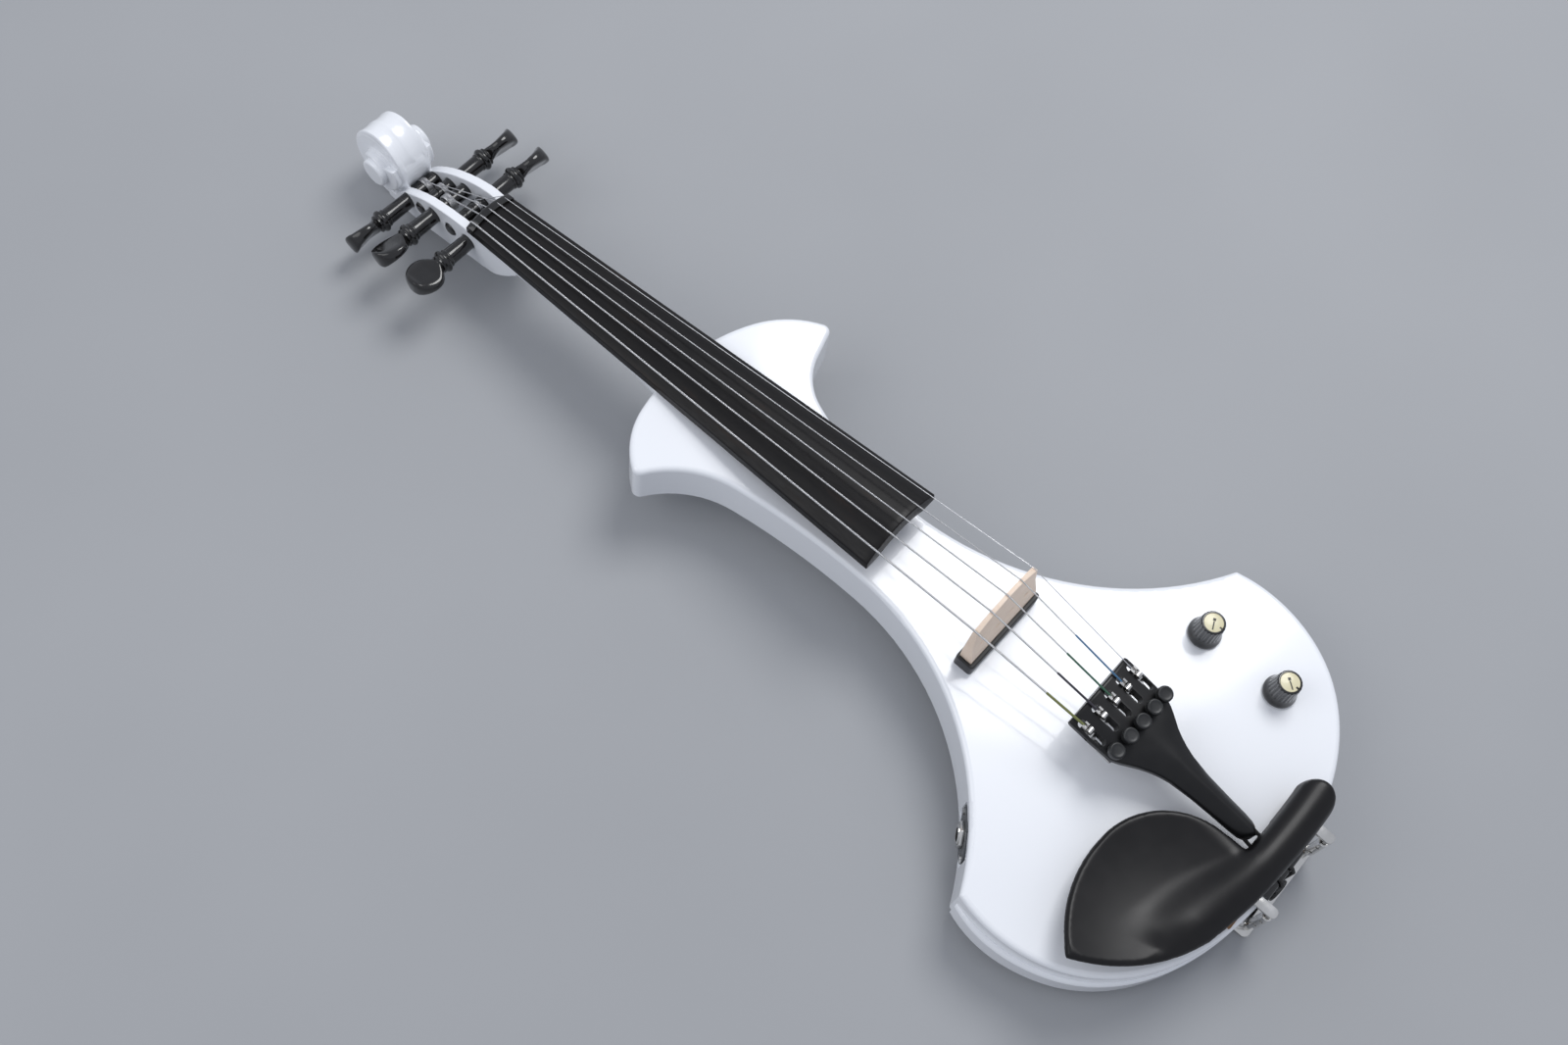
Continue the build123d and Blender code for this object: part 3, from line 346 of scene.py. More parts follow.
def tube_faces(rings, count, closed_ends=True):
    faces = []
    for r in range(rings - 1):
        for i in range(count):
            j = (i + 1) % count
            a = r * count
            b = (r + 1) * count
            faces.append((a + i, a + j, b + j, b + i))
    if closed_ends:
        faces.append(tuple(reversed(range(count))))
        faces.append(tuple((rings - 1) * count + i for i in range(count)))
    return faces


def lathe_points(profile, count, wave=None):
    """Rings of (axial, radius) turned about Z; wave(angle, axial) adds to the radius."""
    points = []
    for axial, radius in profile:
        for i in range(count):
            angle = 2 * pi * i / count
            r = radius + (wave(angle, axial) if wave else 0.0)
            points.append((r * cos(angle), r * sin(angle), axial))
    return points


def interp(x, table):
    rows = sorted(table)
    return float(np.interp(x, [a for a, _ in rows], [b for _, b in rows]))


# ----------------------------------------------------------- neck and scroll
EYE_S = 77.5
EYE_N = -9.5
TURN_RADIUS = [(-95, 26.3), (-45, 25.2), (0, 23.2), (45, 22.4), (90, 23.6), (135, 19.6), (180, 16.4),
               (225, 15.4), (270, 14.2), (360, 11.8), (450, 10.4), (540, 8.6), (630, 7.0)]
TURN_SHRINK = 0.945
TURN_STEP = 3
TURN_WIDTH = [(-95, 9.2), (0, 9.4), (90, 9.6), (180, 10.4), (270, 11.6), (360, 13.2), (450, 14.8),
              (540, 16.4), (630, 17.4)]


def volute_mesh():
    """One long ribbon wound about the eye, fluted outside and stepped at its sides."""
    section = [(-1.0, 0.42), (-1.0, 0.95), (-0.95, 1.0), (-0.84, 1.0), (-0.62, 0.985), (-0.40, 0.982),
               (-0.20, 0.988), (-0.07, 1.0), (0.07, 1.0), (0.20, 0.988), (0.40, 0.982), (0.62, 0.985),
               (0.84, 1.0), (0.95, 1.0), (1.0, 0.95), (1.0, 0.42)]
    points = []
    rings = 0
    for angle in range(TURN_RADIUS[0][0], TURN_RADIUS[-1][0] + 1, TURN_STEP):
        radius = TURN_SHRINK * interp(angle, TURN_RADIUS)
        width = interp(angle, TURN_WIDTH)
        turn = radians(angle)
        for across, out in section:
            r = radius * out
            points.append(neck_point(across * width, EYE_S + r * cos(turn), EYE_N + r * sin(turn)))
        rings += 1
    return mesh_object("volute", points, tube_faces(rings, len(section)), M["lacquer"])


DISC_SIDES = 48


def disc_x(name, half_width, radius, s, n, edge):
    """A round core along X with rounded rims."""
    profile = [(-half_width, radius - edge), (-half_width + 0.3 * edge, radius - 0.3 * edge),
               (-half_width + edge, radius), (half_width - edge, radius),
               (half_width - 0.3 * edge, radius - 0.3 * edge), (half_width, radius - edge)]
    ring = lathe_points(profile, DISC_SIDES)
    points = [neck_point(z, s + x, n + y) for x, y, z in ring]
    return mesh_object(name, points, tube_faces(len(profile), DISC_SIDES), M["lacquer"])


def build_neck():
    neck = copy_of("neck", "neck_and_scroll")
    extras = [
        volute_mesh(),
        disc_x("core_outer", 8.6, 17.0, EYE_S, EYE_N, 0.6),
        disc_x("core_inner", 11.4, 11.5, EYE_S, EYE_N, 0.6),
        disc_x("eye", 17.4, 7.6, EYE_S, EYE_N, 1.6),
    ]
    for piece in extras:
        merge_into(neck, piece)
    evened(neck, 0.35, 4, M["lacquer"])
    return stand_for(neck, "neck")


# ------------------------------------------------------------------- pegs
# Place along the neck plane, height over it, side of the head, turn of the thumb piece.
PEGS = {"c": (7.5, -9.5, -1, 0), "g": (34.0, -10.5, -1, 30), "d": (57.5, -19.0, -1, 60),
        "a": (46.0, -16.0, 1, -62), "e": (21.0, -11.0, 1, -60)}


def peg_profile(tip):
    """(out along the peg, radius) of the turned shaft, collar and beads."""
    def shaft(out):
        return 4.1 + out / 60
    rows = [(tip, 0.4), (tip, shaft(tip) - 0.9), (tip + 0.35, shaft(tip) - 0.3), (tip + 0.9, shaft(tip))]
    for out in (-8, 0, 8, 15, 22, 27.6):
        rows.append((out, shaft(out)))
    rows += [(27.9, 4.6), (28.2, 4.95), (28.8, 5.05), (29.3, 4.75), (29.6, 4.7), (29.9, 5.3), (30.5, 6.0),
             (31.3, 6.25), (32.1, 6.0), (32.7, 5.4), (33.0, 4.9), (33.3, 4.75), (33.7, 5.0), (34.3, 5.0),
             (34.8, 4.4), (35.3, 3.7), (36.2, 3.3), (37.5, 3.1), (39.0, 2.5), (39.6, 0.6)]
    return rows


HEAD_HALF_WIDTH = [(34.2, 3.2), (35.2, 4.4), (36.4, 6.2), (38.0, 8.2), (40.0, 9.7), (42.4, 10.4),
                   (45.0, 10.35), (47.6, 9.6), (49.8, 8.3), (51.4, 6.7), (52.5, 4.9), (53.15, 3.0),
                   (53.4, 1.4)]
HEAD_HALF_THICK = [(34.2, 3.6), (36.0, 3.75), (38.0, 3.55), (41.0, 3.7), (45.0, 4.35), (49.0, 5.1),
                   (51.4, 5.3), (52.5, 5.0), (53.15, 4.0), (53.4, 2.8)]
PEG_SIDES = 40


def head_ring(out):
    """A dished, round-edged slice of the thumb piece."""
    wide = interp(out, HEAD_HALF_WIDTH)
    thick = interp(out, HEAD_HALF_THICK)
    dish = 0.30 * max(0.0, min(1.0, (out - 35.5) / 5)) * max(0.0, min(1.0, (53.0 - out) / 3.5))
    ring = []
    for i in range(PEG_SIDES):
        angle = 2 * pi * i / PEG_SIDES
        c, s = cos(angle), sin(angle)
        y = wide * (abs(c) ** 0.72) * (1 if c >= 0 else -1)
        rim = abs(y) / wide
        z = thick * (abs(s) ** 0.8) * (1 if s >= 0 else -1)
        z *= 1 - dish * (1 - rim ** 2.2)
        ring.append((out, y, z))
    return ring


def build_peg(name):
    along, up, side, turn = PEGS[name]
    half = interp(along, [(5, 14.2), (25, 14.2), (36, 13.6), (50, 12.9), (66, 11.3)])
    profile = peg_profile(-half - 0.9)
    shaft = []
    for out, radius in profile:
        for i in range(PEG_SIDES):
            angle = 2 * pi * i / PEG_SIDES
            shaft.append((out, radius * cos(angle), radius * sin(angle)))
    outs = np.concatenate([np.linspace(34.2, 38, 8), np.linspace(39, 51, 16), np.linspace(51.4, 53.4, 10)])
    head = []
    for out in outs:
        head += head_ring(float(out))
    tilt = radians(turn)
    points = []
    for out, y, z in shaft + head:
        y, z = y * cos(tilt) - z * sin(tilt), y * sin(tilt) + z * cos(tilt)
        if side < 0:
            out, y = -out, -y
        points.append(neck_point(out, along + y, up + z))
    faces = tube_faces(len(profile), PEG_SIDES)
    base = len(shaft)
    faces += [tuple(base + i for i in f) for f in tube_faces(len(outs), PEG_SIDES)]
    peg = mesh_object("peg_" + name + "_turned", points, faces, M["polished"], 50.0)
    return stand_for(peg, "peg_" + name)


# ----------------------------------------------------------------- chinrest
LOBE_RADIUS = 40.0
LOBE_CENTRE = (-48.0, -138.0)
LOBE_BASS_TIP = (-100.0, -118.0)
LOBE_SHOULDER = (-80.0, -104.0)
BAR_BEND = 313.0
BAR_HALF_WIDTH = 9.3
BAR_X = 17.0
BAR_Y = -158.6
BAR_END_X = 32.0
BAR_END_RADIUS = 8.0
CHIN_STEP = 0.8
EDGE_ROUND = 2.5
DISH_LOW = 41.0
DISH_EDGE = 48.5
DISH_X = -48.0
DISH_Y = -124.0
PLATE_THICKNESS = 5.2
CREST_TOP = 51.2
ROLL_HALF_WIDTH = 9.6
ROLL_HEIGHT = 8.5
BAR_TOP = 44.0
BAR_UNDER = 39.0
PAD_TOP = 31.05
PAD_SPANS = ((-36.0, -15.0), (15.0, 37.0))
TUNNEL_TOP = 42.0
POSTS_X = (-18.0, 27.0)
BRACKET_TOP = 33.15


def arc_through(a, b, c, count=24):
    """Points on the circle through a, b and c, without the last one."""
    bend = 2 * (a[0] * (b[1] - c[1]) + b[0] * (c[1] - a[1]) + c[0] * (a[1] - b[1]))
    squares = [p[0] ** 2 + p[1] ** 2 for p in (a, b, c)]
    cx = (squares[0] * (b[1] - c[1]) + squares[1] * (c[1] - a[1]) + squares[2] * (a[1] - b[1])) / bend
    cy = (squares[0] * (c[0] - b[0]) + squares[1] * (a[0] - c[0]) + squares[2] * (b[0] - a[0])) / bend
    radius = hypot(a[0] - cx, a[1] - cy)
    start, middle, stop = [atan2(p[1] - cy, p[0] - cx) for p in (a, b, c)]
    sweep = (stop - start) % (2 * pi)
    if (middle - start) % (2 * pi) > sweep:
        sweep -= 2 * pi
    angles = [start + sweep * i / count for i in range(count)]
    return [(cx + radius * cos(angle), cy + radius * sin(angle)) for angle in angles]


def bar_edge(x, side):
    """A point on the bar's curved front (side -1) or tail (side 1) edge."""
    radius = BAR_BEND + side * BAR_HALF_WIDTH
    return (x, BAR_Y + BAR_BEND - sqrt(radius ** 2 - (x - BAR_X) ** 2))


def chinrest_outline():
    """Rounded lobe, a step beside the tailpiece, then the bar with its round end."""
    lobe_x, lobe_y = LOBE_CENTRE
    lobe_top = (lobe_x, lobe_y + LOBE_RADIUS)
    lobe_side = (lobe_x + LOBE_RADIUS, lobe_y)
    lobe_between = (lobe_x + LOBE_RADIUS * cos(pi / 4), lobe_y + LOBE_RADIUS * sin(pi / 4))
    bar_start = bar_edge(lobe_side[0], -1)
    end_front = bar_edge(BAR_END_X, -1)
    end_tail = bar_edge(BAR_END_X, 1)
    end_tip = (BAR_END_X + BAR_END_RADIUS, (end_front[1] + end_tail[1]) / 2)
    tail_turn = bar_edge(-50, 1)
    points = arc_through(LOBE_BASS_TIP, LOBE_SHOULDER, lobe_top)
    points += arc_through(lobe_top, lobe_between, lobe_side)
    points += [lobe_side]
    points += arc_through(bar_start, bar_edge((bar_start[0] + BAR_END_X) / 2, -1), end_front)
    points += arc_through(end_front, end_tip, end_tail)
    points += arc_through(end_tail, bar_edge(0, 1), tail_turn)
    points += arc_through(tail_turn, (-86, -138), LOBE_BASS_TIP)
    return np.array(points)


def outline_distance(px, py, outline):
    """Signed distance to a closed outline, positive inside, and the nearest point."""
    a = outline
    b = np.roll(outline, -1, axis=0)
    d = b - a
    best = np.full(px.shape, 1e9)
    near_x = np.zeros(px.shape)
    near_y = np.zeros(px.shape)
    inside = np.zeros(px.shape, bool)
    for (ax, ay), (dx, dy), (bx, by) in zip(a, d, b):
        t = np.clip(((px - ax) * dx + (py - ay) * dy) / (dx * dx + dy * dy + 1e-12), 0, 1)
        qx = ax + t * dx
        qy = ay + t * dy
        dist = np.hypot(px - qx, py - qy)
        closer = dist < best
        best = np.where(closer, dist, best)
        near_x = np.where(closer, qx, near_x)
        near_y = np.where(closer, qy, near_y)
        crosses = ((ay > py) != (by > py)) & (px < (bx - ax) * (py - ay) / (by - ay + 1e-12) + ax)
        inside ^= crosses
    return np.where(inside, best, -best), near_x, near_y


def smooth_max(a, b, reach):
    h = np.clip(0.5 + 0.5 * (a - b) / reach, 0, 1)
    return b + (a - b) * h + reach * h * (1 - h)


def smooth_step(value, low, high):
    t = np.clip((value - low) / (high - low), 0, 1)
    return t * t * (3 - 2 * t)


def chin_top(x, y, dish, bar_side):
    """The rolled crest along the tail, swept down into the dished lobe."""
    centre = BAR_Y + (x - BAR_X) ** 2 / (2 * BAR_BEND)
    across = np.clip(np.abs(y - centre) / ROLL_HALF_WIDTH, 0, 1)
    crest = CREST_TOP - 4.2 * smooth_step(-x, 5, 52) - 3.5 * smooth_step(-x, 48, 76)
    roll = crest - ROLL_HEIGHT + ROLL_HEIGHT * np.sqrt(1 - across ** 2)
    reach = 12.0 + 12.0 * smooth_step(-x, 0, 46)
    away = np.clip((y - centre) / reach, 0, 1)
    sweep = dish + np.maximum(crest - dish, 0) * (1 - away ** 2) ** 3
    lobe_top = np.where(y < centre, smooth_max(dish - 2.0, roll, 3.0), sweep)
    fade = smooth_step(-x, 62, 84)
    lobe_top = lobe_top * (1 - fade) + dish * fade
    bar_top = smooth_max(np.full(x.shape, BAR_TOP), roll, 2.6)
    return lobe_top * (1 - bar_side) + bar_top * bar_side


def chin_under(x, y, dish, bar_side):
    """The under side: feet on the pads, a tunnel for the tailpiece, slots over the brackets."""
    under = (dish - PLATE_THICKNESS) * (1 - bar_side) + BAR_UNDER * bar_side
    for low, high in PAD_SPANS:
        foot = smooth_step(x, low, low + 1.2) * smooth_step(-x, -high, -high + 1.2)
        foot = foot * smooth_step(y, -166.4, -165.4) * smooth_step(-y, 152.5, 153.7)
        under = under * (1 - foot) + PAD_TOP * foot
    tunnel = smooth_step(x, -10.0, -8.6) * smooth_step(-x, -10.0, -8.6) * smooth_step(-y, 145, 146.4)
    under = under * (1 - tunnel) + np.maximum(under, TUNNEL_TOP) * tunnel
    for post in POSTS_X:
        slot = smooth_step(x, post - 5.0, post - 4.3) * smooth_step(-x, -post - 5.0, -post - 4.3)
        slot = slot * smooth_step(-y, 155.6, 156.6)
        under = under * (1 - slot) + np.maximum(under, BRACKET_TOP) * slot
    return under


def chin_heights(x, y, inside):
    """Top and under side of the chinrest over a point, with the outer edge rounded."""
    dish = DISH_LOW + ((x - DISH_X) ** 2 + (y - DISH_Y) ** 2) / 300
    dish = np.minimum(dish, DISH_EDGE + 0.15 * (dish - DISH_EDGE))
    bar_side = smooth_step(x, -16.0, -4.0)
    top = chin_top(x, y, dish, bar_side)
    under = chin_under(x, y, dish, bar_side)
    from_edge = 1 - np.clip(inside / EDGE_ROUND, 0, 1)
    rounding = EDGE_ROUND * (1 - np.sqrt(np.clip(1 - from_edge ** 2, 0, 1)))
    edge_top = top - rounding * 1.02
    gap = np.maximum(edge_top - under, 0)
    edge_under = under + np.minimum(rounding, gap * 0.98)
    return edge_top, edge_under


def skin_faces(cells, index, offset):
    """Faces over, under and around the grid cells that belong to the piece."""
    faces = []
    edges = {}
    for i, j in zip(*np.nonzero(cells)):
        ring = (index[i, j], index[i + 1, j], index[i + 1, j + 1], index[i, j + 1])
        faces.append(ring)
        faces.append(tuple(offset + k for k in reversed(ring)))
        for a, b in zip(ring, ring[1:] + ring[:1]):
            edges[(a, b)] = True
    for a, b in edges:
        if (b, a) not in edges:
            faces.append((b, a, offset + a, offset + b))
    return faces


def build_chinrest():
    outline = chinrest_outline()
    xs = np.arange(-102, 42, CHIN_STEP)
    ys = np.arange(-171, -96, CHIN_STEP)
    gx, gy = np.meshgrid(xs, ys, indexing="ij")
    inside, near_x, near_y = outline_distance(gx, gy, outline)
    keep = inside > -CHIN_STEP * 0.5
    cells = keep[:-1, :-1] & keep[1:, :-1] & keep[1:, 1:] & keep[:-1, 1:]
    used = np.zeros(gx.shape, bool)
    for dx in (0, 1):
        for dy in (0, 1):
            used[dx:dx + cells.shape[0], dy:dy + cells.shape[1]] |= cells
    around = np.zeros(gx.shape, int)
    for dx in (0, 1):
        for dy in (0, 1):
            around[dx:dx + cells.shape[0], dy:dy + cells.shape[1]] += cells
    rim = used & (around < 4)
    snap = rim | (used & (inside < CHIN_STEP * 0.3))
    x = np.where(snap, near_x, gx)
    y = np.where(snap, near_y, gy)
    depth = np.where(snap, 0.0, np.maximum(inside, 0))
    top, under = chin_heights(x, y, depth)
    index = -np.ones(gx.shape, int)
    points = []
    for i, j in zip(*np.nonzero(used)):
        index[i, j] = len(points)
        points.append((x[i, j], y[i, j], top[i, j]))
    offset = len(points)
    for i, j in zip(*np.nonzero(used)):
        points.append((x[i, j], y[i, j], under[i, j]))
    faces = skin_faces(cells, index, offset)
    rest = mesh_object("chinrest_carved", points, faces, M["chin"], 60.0)
    evened(rest, 0.6, 8, M["chin"])
    return stand_for(rest, "chinrest")


# ---------------------------------------------------------------- tailpiece
TAIL_HALF_WIDTH = [(0.0, 20.5), (-1.2, 20.85), (-12, 20.9), (-24.5, 20.4), (-28.5, 18.6), (-32.5, 16.2),
                   (-37, 13.5), (-41.5, 11.3), (-46, 9.6), (-51, 8.3), (-62, 6.9), (-74, 6.15), (-84, 5.7),
                   (-88.5, 5.2), (-91, 4.2), (-92.4, 2.6), (-92.95, 1.0)]
TAIL_X = {"c": -17.8, "g": -8.9, "d": 0.0, "a": 8.9, "e": 17.8}
SCREW_Y = -23.0
PIN_Y = -10.6
PIN_N = 1.6
PIN_RADIUS = 0.75
TAIL_THICKNESS = 7.0
CROWN_RADIUS = 70.0


def tail_crown(x):
    return TAIL_THICKNESS - (CROWN_RADIUS - sqrt(CROWN_RADIUS ** 2 - x ** 2))


def tail_top(x, y, half):
    """Top height: a crowned plate that draws up into a central ridge."""
    flat = tail_crown(min(abs(x), 20.9))
    share = min(1.0, abs(x) / max(half, 0.1))
    ridge_share = interp(y, [(-93, 1.0), (-60, 1.0), (-38, 0.75), (-27, 0.0), (0, 0.0)])
    fall = interp(y, [(-93, 4.6), (-60, 4.4), (-38, 3.6), (-27, 2.0), (0, 0.0)])
    ridge = TAIL_THICKNESS - fall * share ** 1.7
    return flat * (1 - ridge_share) + ridge * ridge_share


def build_tailpiece():
    ys = np.concatenate([[0, -0.25, -0.7, -1.4], np.linspace(-3, -30, 28), np.linspace(-31.5, -84, 36),
                         [-85.5, -87, -88.5, -89.7, -90.7, -91.5, -92.1, -92.5, -92.8, -92.95]])
    across = 44
    points = []
    for y in ys:
        half = interp(float(y), TAIL_HALF_WIDTH)
        front = max(0.0, 1.0 - abs(float(y)) / 0.7) * 0.6
        tip = 1.8 * max(0.0, min(1.0, (-89.5 - float(y)) / 3.4)) ** 2
        low = tip + front
        ring = []
        for i in range(across + 1):
            share = -cos(pi * i / across)
            x = half * share
            edge = half - abs(x)
            z = tail_top(x, float(y), half) - tip - front
            if edge < 1.0:
                z -= 1.0 - sqrt(max(0.0, 1 - (1 - edge) ** 2))
            ring.append((x, z))
        for i in range(across, -1, -1):
            share = -cos(pi * i / across)
            x = half * share
            edge = half - abs(x)
            z = low
            if edge < 0.8:
                z += 0.8 - sqrt(max(0.0, 0.64 - (0.8 - edge) ** 2))
            ring.append((x, z))
        for x, z in ring:
            points.append(tail_point(x, float(y), z))
    count = 2 * (across + 1)
    plate = mesh_object("tailpiece_carved", points, tube_faces(len(ys), count), M["satin"], 40.0)
    weld = plate.modifiers.new("weld", "WELD")
    weld.merge_threshold = 0.00001
    bake(plate)
    cutters = []
    for x in TAIL_X.values():
        cutters.append(slot_cutter(x, -18.2, -2.9, 1.85))
        cutters.append(slot_cutter(x, SCREW_Y - 0.001, SCREW_Y + 0.001, 1.42))
    cutters.append(pin_cutter())
    for cutter in cutters:
        boolean(plate, cutter)
    edge = plate.modifiers.new("edge", "BEVEL")
    edge.width = 0.00022
    edge.segments = 2
    edge.limit_method = "ANGLE"
    edge.angle_limit = radians(50)
    bake(plate, 45.0)
    plate.data.materials.clear()
    plate.data.materials.append(M["satin"])
    return stand_for(plate, "tailpiece")


def slot_cutter(x, low, high, half):
    """A round-ended slot through the plate, or a round hole where it is too short for one."""
    rim = []
    for i in range(17):
        angle = pi * i / 16
        rim.append((x + half * cos(angle), high - half + half * sin(angle)))
    for i in range(17):
        angle = pi + pi * i / 16
        rim.append((x + half * cos(angle), low + half + half * sin(angle)))
    if high - low < 2 * half:
        middle = (low + high) / 2
        turns = [2 * pi * i / 32 for i in range(32)]
        rim = [(x + half * cos(angle), middle + half * sin(angle)) for angle in turns]
    points = [tail_point(a, b, -3) for a, b in rim] + [tail_point(a, b, 12) for a, b in rim]
    return mesh_object("cutter", points, tube_faces(2, len(rim)), M["satin"])


def pin_cutter():
    """The long hole across the plate that the tuner levers' pivot pin lies in."""
    turns = [2 * pi * i / 20 for i in range(20)]
    ring = [(PIN_Y + PIN_RADIUS * cos(angle), PIN_N + PIN_RADIUS * sin(angle)) for angle in turns]
    points = [tail_point(-25, y, n) for y, n in ring] + [tail_point(25, y, n) for y, n in ring]
    return mesh_object("cutter", points, tube_faces(2, 20), M["satin"])


SCREW_SIDES = 120


def build_tuner_screw(name):
    x = TAIL_X[name]
    top = tail_crown(x)
    low = top + 2.5
    profile = [(-1.9, 0.3), (-1.9, 0.9), (-1.6, 1.25), (top + 0.9, 1.3), (top + 0.9, 2.2), (top + 1.1, 2.4),
               (top + 2.3, 2.4), (low, 3.3), (low + 0.25, 3.68), (low + 0.6, 3.78), (low + 3.1, 3.78),
               (low + 3.5, 3.6), (low + 3.75, 3.25), (low + 3.85, 2.9), (low + 3.72, 2.6), (low + 3.66, 1.6),
               (low + 3.64, 0.3)]

    def knurl(angle, axial):
        if low + 0.5 < axial < low + 3.2:
            return -0.05 + 0.05 * cos(30 * angle)
        return 0.0
    ring = lathe_points(profile, SCREW_SIDES, knurl)
    points = [tail_point(x + px, SCREW_Y + py, pz) for px, py, pz in ring]
    faces = tube_faces(len(profile), SCREW_SIDES)
    screw = mesh_object("tuner_screw_" + name + "_turned", points, faces, M["tuner"], 40.0)
    return stand_for(screw, "tuner_screw_" + name)


# -------------------------------------------------------------------- knobs
KNOB_SIDES = 240
# Place on the body, and the heading of the dial mark.
KNOBS = {"volume": (67.8, -75.7, 205.0), "tone": (69.0, -118.7, 232.0)}


def build_knob(name):
    """Flared gloss skirt under a fluted grip, hollow below, with a recess for the disc."""
    cx, cy, _ = KNOBS[name]
    outer = [(29.6, 7.6), (29.6, 8.0), (29.8, 8.15), (30.4, 8.2), (31.0, 8.16), (31.6, 7.9), (32.4, 7.5),
             (33.2, 7.12), (34.0, 6.86), (34.5, 6.76), (34.9, 6.7), (35.6, 6.64), (38.0, 6.46), (41.0, 6.24),
             (42.8, 6.1), (43.4, 6.02), (43.8, 5.86), (44.05, 5.6), (44.15, 5.3), (44.15, 4.95), (44.0, 4.8),
             (43.4, 4.76), (43.4, 3.2)]
    inner = [(42.1, 3.02), (32.8, 3.02), (32.8, 6.0), (29.6, 6.6)]

    def flute(angle, axial):
        fade = interp(axial, [(34.3, 0), (35.2, 1), (43.2, 1), (43.9, 0)])
        if axial > 43.95 or axial < 34.2:
            return 0.0
        return -0.42 * fade * (0.5 + 0.5 * cos(20 * angle)) ** 1.5
    outer_ring = lathe_points(outer, KNOB_SIDES, flute)
    inner_ring = lathe_points(inner, KNOB_SIDES)
    points = [(cx + a, cy + b, c) for a, b, c in outer_ring + inner_ring]
    rows = len(outer) + len(inner)
    faces = tube_faces(rows, KNOB_SIDES, closed_ends=False)
    last = (rows - 1) * KNOB_SIDES
    for i in range(KNOB_SIDES):
        j = (i + 1) % KNOB_SIDES
        faces.append((last + i, last + j, j, i))
    knob = mesh_object(name + "_knob_fluted", points, faces, M["knob"], 40.0)
    fix_normals(knob)
    return stand_for(knob, name + "_knob")


def fix_normals(obj):
    work = bmesh.new()
    work.from_mesh(obj.data)
    bmesh.ops.recalc_face_normals(work, faces=work.faces)
    work.to_mesh(obj.data)
    work.free()
    shade(obj.data, 40.0)


def build_knob_disc(name):
    """Cream disc with a notch, plus a plain dial mark printed on it."""
    cx, cy, heading = KNOBS[name]
    disc = softened(name + "_knob_disc", 0.12)
    turn = radians(heading)
    bars = [(1.5, 0.0, 2.2, 0.32), (-1.6, 0.0, 0.7, 0.7)]
    points = []
    faces = []
    for along, across, half_long, half_wide in bars:
        base = len(points)
        for z in (44.08, 44.125):
            for a, b in ((-1, -1), (1, -1), (1, 1), (-1, 1)):
                u = along + a * half_long
                v = across + b * half_wide
                x = cx + u * cos(turn) - v * sin(turn)
                y = cy + u * sin(turn) + v * cos(turn)
                points.append((x, y, z))
        faces += [tuple(base + i for i in f) for f in tube_faces(2, 4)]
    mark = mesh_object(name + "_dial_mark", points, faces, M["ink"], 30.0)
    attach(mark, BODY_OF[name + "_knob_disc"])
    return disc


# ------------------------------------------------------------------- silks
# Where each thread ends, along the instrument, and its colour. The e string has none.
SILKS = {"c": (-40, (0.20, 0.22, 0.07)), "g": (-38, (0.035, 0.032, 0.045)),
         "d": (-35.5, (0.035, 0.13, 0.075)), "a": (-33, (0.06, 0.18, 0.34))}
STRING_STEP = {"c": -2, "g": -1, "d": 0, "a": 1, "e": 2}
STRING_RADIUS = {"c": 0.50, "g": 0.42, "d": 0.36, "a": 0.30, "e": 0.20}
STRING_SPACING = 10.5
BRIDGE_TOP = 69.6
BRIDGE_CROWN = 42.0


def string_run(name):
    """The straight run from the tuner prong to the bridge."""
    x = TAIL_X[name]
    start = Vector(tail_point(x, -6.8, tail_crown(x) + 0.75))
    bridge_x = STRING_STEP[name] * STRING_SPACING
    drop = BRIDGE_CROWN - sqrt(BRIDGE_CROWN ** 2 - bridge_x ** 2)
    end = Vector((bridge_x, 0.3, BRIDGE_TOP - drop))
    return start, end


def build_silk(name):
    """Coloured thread wound over the tail end of the string."""
    until, colour = SILKS[name]
    start, end = string_run(name)
    share = (until - start.y) / (end.y - start.y)
    way = end - start
    side = way.cross(Vector((1, 0, 0))).normalized()
    other = way.cross(side).normalized()
    begin = start + way * 0.015
    stop = start + way * share
    rings = 240
    count = 10
    points = []
    for r in range(rings):
        t = r / (rings - 1)
        centre = begin + (stop - begin) * t
        ends = min(1.0, min(t, 1 - t) / 0.03)
        radius = STRING_RADIUS[name] + 0.02 + ends * (0.11 + 0.035 * cos(r * 1.7))
        for i in range(count):
            angle = 2 * pi * i / count
            points.append(tuple(centre + (side * cos(angle) + other * sin(angle)) * radius))
    dark = tuple(0.6 * c for c in colour)
    material = surface("silk_thread_" + name, dark, colour, 0.55, 0.08, (900, 900, 900), 2.0)
    silk = mesh_object("silk_" + name, points, tube_faces(rings, count), material, 80.0)
    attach(silk, BODY_OF["string_" + name])
    return silk


# -------------------------------------------------------------- fingerboard
BOARD_LENGTH = 271.7
BOARD_HALF_NUT = 14.4
BOARD_HALF_END = 24.5
BOARD_SIDE = 4.7
BOARD_RADIUS = 42.0
BOARD_EDGE = 0.6
BOARD_HOLLOW_FROM = 182.5
BOARD_SLICES = 40
HOLLOW_RADIUS = 34.0
HOLLOW_DROP = 30.0


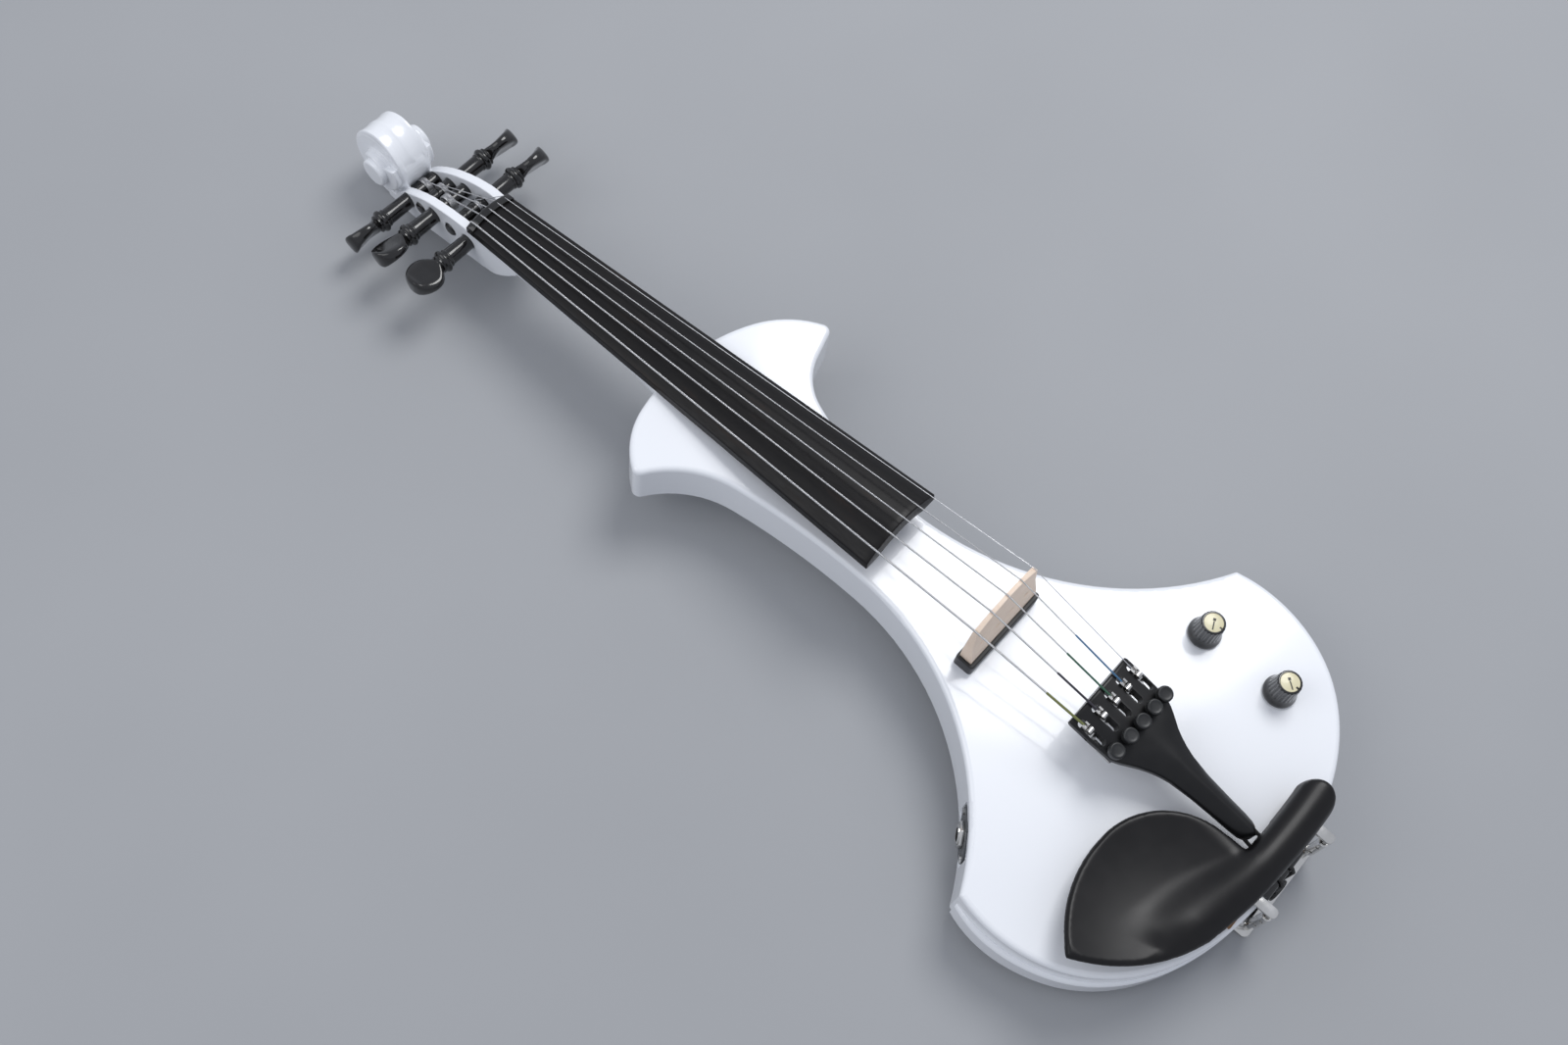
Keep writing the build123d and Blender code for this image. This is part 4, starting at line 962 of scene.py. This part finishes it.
def board_ring(along, inset):
    """Cross-section: flat or hollow below, upright sides, crowned on top."""
    share = along / BOARD_LENGTH
    half = BOARD_HALF_NUT + (BOARD_HALF_END - BOARD_HALF_NUT) * share - inset
    rise = BOARD_RADIUS - sqrt(BOARD_RADIUS ** 2 - half ** 2)
    ring = []
    for i in range(BOARD_SLICES + 1):
        x = half * -cos(pi * i / BOARD_SLICES)
        top = BOARD_SIDE + rise - (BOARD_RADIUS - sqrt(BOARD_RADIUS ** 2 - x ** 2)) - inset
        from_side = half - abs(x)
        if from_side < BOARD_EDGE:
            top -= BOARD_EDGE - sqrt(max(0.0, BOARD_EDGE ** 2 - (BOARD_EDGE - from_side) ** 2))
        ring.append((x, top))
    for i in range(BOARD_SLICES, -1, -1):
        x = half * -cos(pi * i / BOARD_SLICES)
        low = inset
        if along > BOARD_HOLLOW_FROM:
            low = max(low, sqrt(HOLLOW_RADIUS ** 2 - x ** 2) - HOLLOW_DROP + inset)
        ring.append((x, low))
    return ring


def build_fingerboard():
    places = [(0.0, 0.35), (0.12, 0.1), (0.4, 0.0)]
    places += [(float(v), 0.0) for v in np.linspace(4, BOARD_HOLLOW_FROM, 40)]
    places += [(float(v), 0.0) for v in np.linspace(BOARD_HOLLOW_FROM + 0.05, BOARD_LENGTH - 0.6, 30)]
    places += [(BOARD_LENGTH - 0.25, 0.1), (BOARD_LENGTH - 0.06, 0.3), (BOARD_LENGTH, 0.55)]
    points = []
    for along, inset in places:
        points += [neck_point(x, -along, n) for x, n in board_ring(along, inset)]
    faces = tube_faces(len(places), 2 * (BOARD_SLICES + 1))
    board = mesh_object("fingerboard_planed", points, faces, M["ebony"], 30.0)
    fix_normals(board)
    return stand_for(board, "fingerboard")


# ------------------------------------------------------------ build pieces
build_fingerboard()
build_neck()
build_chinrest()
build_tailpiece()
for letter in "cgdae":
    build_peg(letter)
    build_tuner_screw(letter)
    if letter in SILKS:
        build_silk(letter)
for knob_name in KNOBS:
    build_knob(knob_name)
    build_knob_disc(knob_name)
SOFT_EDGES = {
    "nut": 0.35, "bridge": 0.4, "pickup_bar": 0.25, "saddle": 0.3,
    "clamp_top_brackets": 0.35, "clamp_barrel_bass": 0.25, "clamp_barrel_treble": 0.25,
    "clamp_foot": 0.3, "jack_plate": 0.3, "jack_nut": 0.25, "cavity_cover": 0.25, "pot_nuts": 0.15,
}
for node_name, width in SOFT_EDGES.items():
    softened(node_name, width)

# -------------------------------------------------------------------- stage
# Camera and aim in the drawing axes, mm. The aim is at the height of the body's top.
CAMERA_AT = (-304.5, -61.5, 752.2)
CAMERA_AIM = (-27.6, 104.5, 29.0)
CAMERA_ROLL = radians(12.05)
CAMERA_LENS = 38.52
FLOOR_HALF_SIZE = 4000.0


def add_camera():
    data = bpy.data.cameras.new("camera")
    data.sensor_width = 36.0
    data.lens = CAMERA_LENS
    data.clip_start = 0.01
    camera = bpy.data.objects.new("camera", data)
    place = in_row(CAMERA_AT)
    upright = (in_row(CAMERA_AIM) - place).to_track_quat("-Z", "Y").to_matrix()
    turn = upright @ Matrix.Rotation(CAMERA_ROLL, 3, "Z")
    camera.matrix_world = Matrix.Translation(place) @ turn.to_4x4()
    bpy.context.scene.collection.objects.link(camera)
    bpy.context.scene.camera = camera


def outline_yz(node):
    """The node's corners seen from the side, in mm."""
    place = NODES[node].matrix_world
    corners = [(place @ v.co) / MM - DRAWING_ORIGIN for v in NODES[node].data.vertices]
    return [(c.y, c.z) for c in corners]


def lowest(node):
    return min(outline_yz(node), key=lambda point: point[1])


def slope_to(low, point):
    return atan2(point[1] - low[1], point[0] - low[0])


def add_floor():
    """A pale floor under one corner of the clamp foot and the back of the scroll."""
    low = lowest("clamp_foot")
    slope = min(slope_to(low, point) for point in outline_yz("neck") if point[0] > SCROLL_FROM_Y)
    size = FLOOR_HALF_SIZE
    points = []
    for x, y in ((-1, -1), (1, -1), (1, 1), (-1, 1)):
        along = y * size
        points.append((x * size, along * cos(slope), low[1] - low[0] * sin(slope) + along * sin(slope)))
    paper = surface("floor_paper", (0.36, 0.37, 0.385), (0.385, 0.395, 0.41), 0.85, 0.03, (2, 2, 2))
    floor = mesh_object("floor", points, [(0, 1, 2, 3)], paper)


def add_light(name, place, aim, size, power, colour=(1, 1, 1)):
    data = bpy.data.lights.new(name, "AREA")
    data.shape = "DISK"
    data.size = size
    data.energy = power
    data.color = colour
    lamp = bpy.data.objects.new(name, data)
    place = in_row(place)
    way = in_row(aim) - place
    lamp.matrix_world = Matrix.Translation(place) @ way.to_track_quat("-Z", "Y").to_matrix().to_4x4()
    bpy.context.scene.collection.objects.link(lamp)


def add_world():
    world = bpy.data.worlds.new("studio")
    world.use_nodes = True
    world.node_tree.nodes["Background"].inputs["Color"].default_value = (0.86, 0.9, 1.0, 1)
    world.node_tree.nodes["Background"].inputs["Strength"].default_value = 0.58
    bpy.context.scene.world = world


add_camera()
add_floor()
add_world()
add_light("key", (900, 250, 1500), (0, 50, 0), 0.9, 14.0)
add_light("fill", (-1200, 1000, 1300), (0, 100, 0), 1.6, 8.0)
bpy.context.scene.view_settings.view_transform = "Standard"
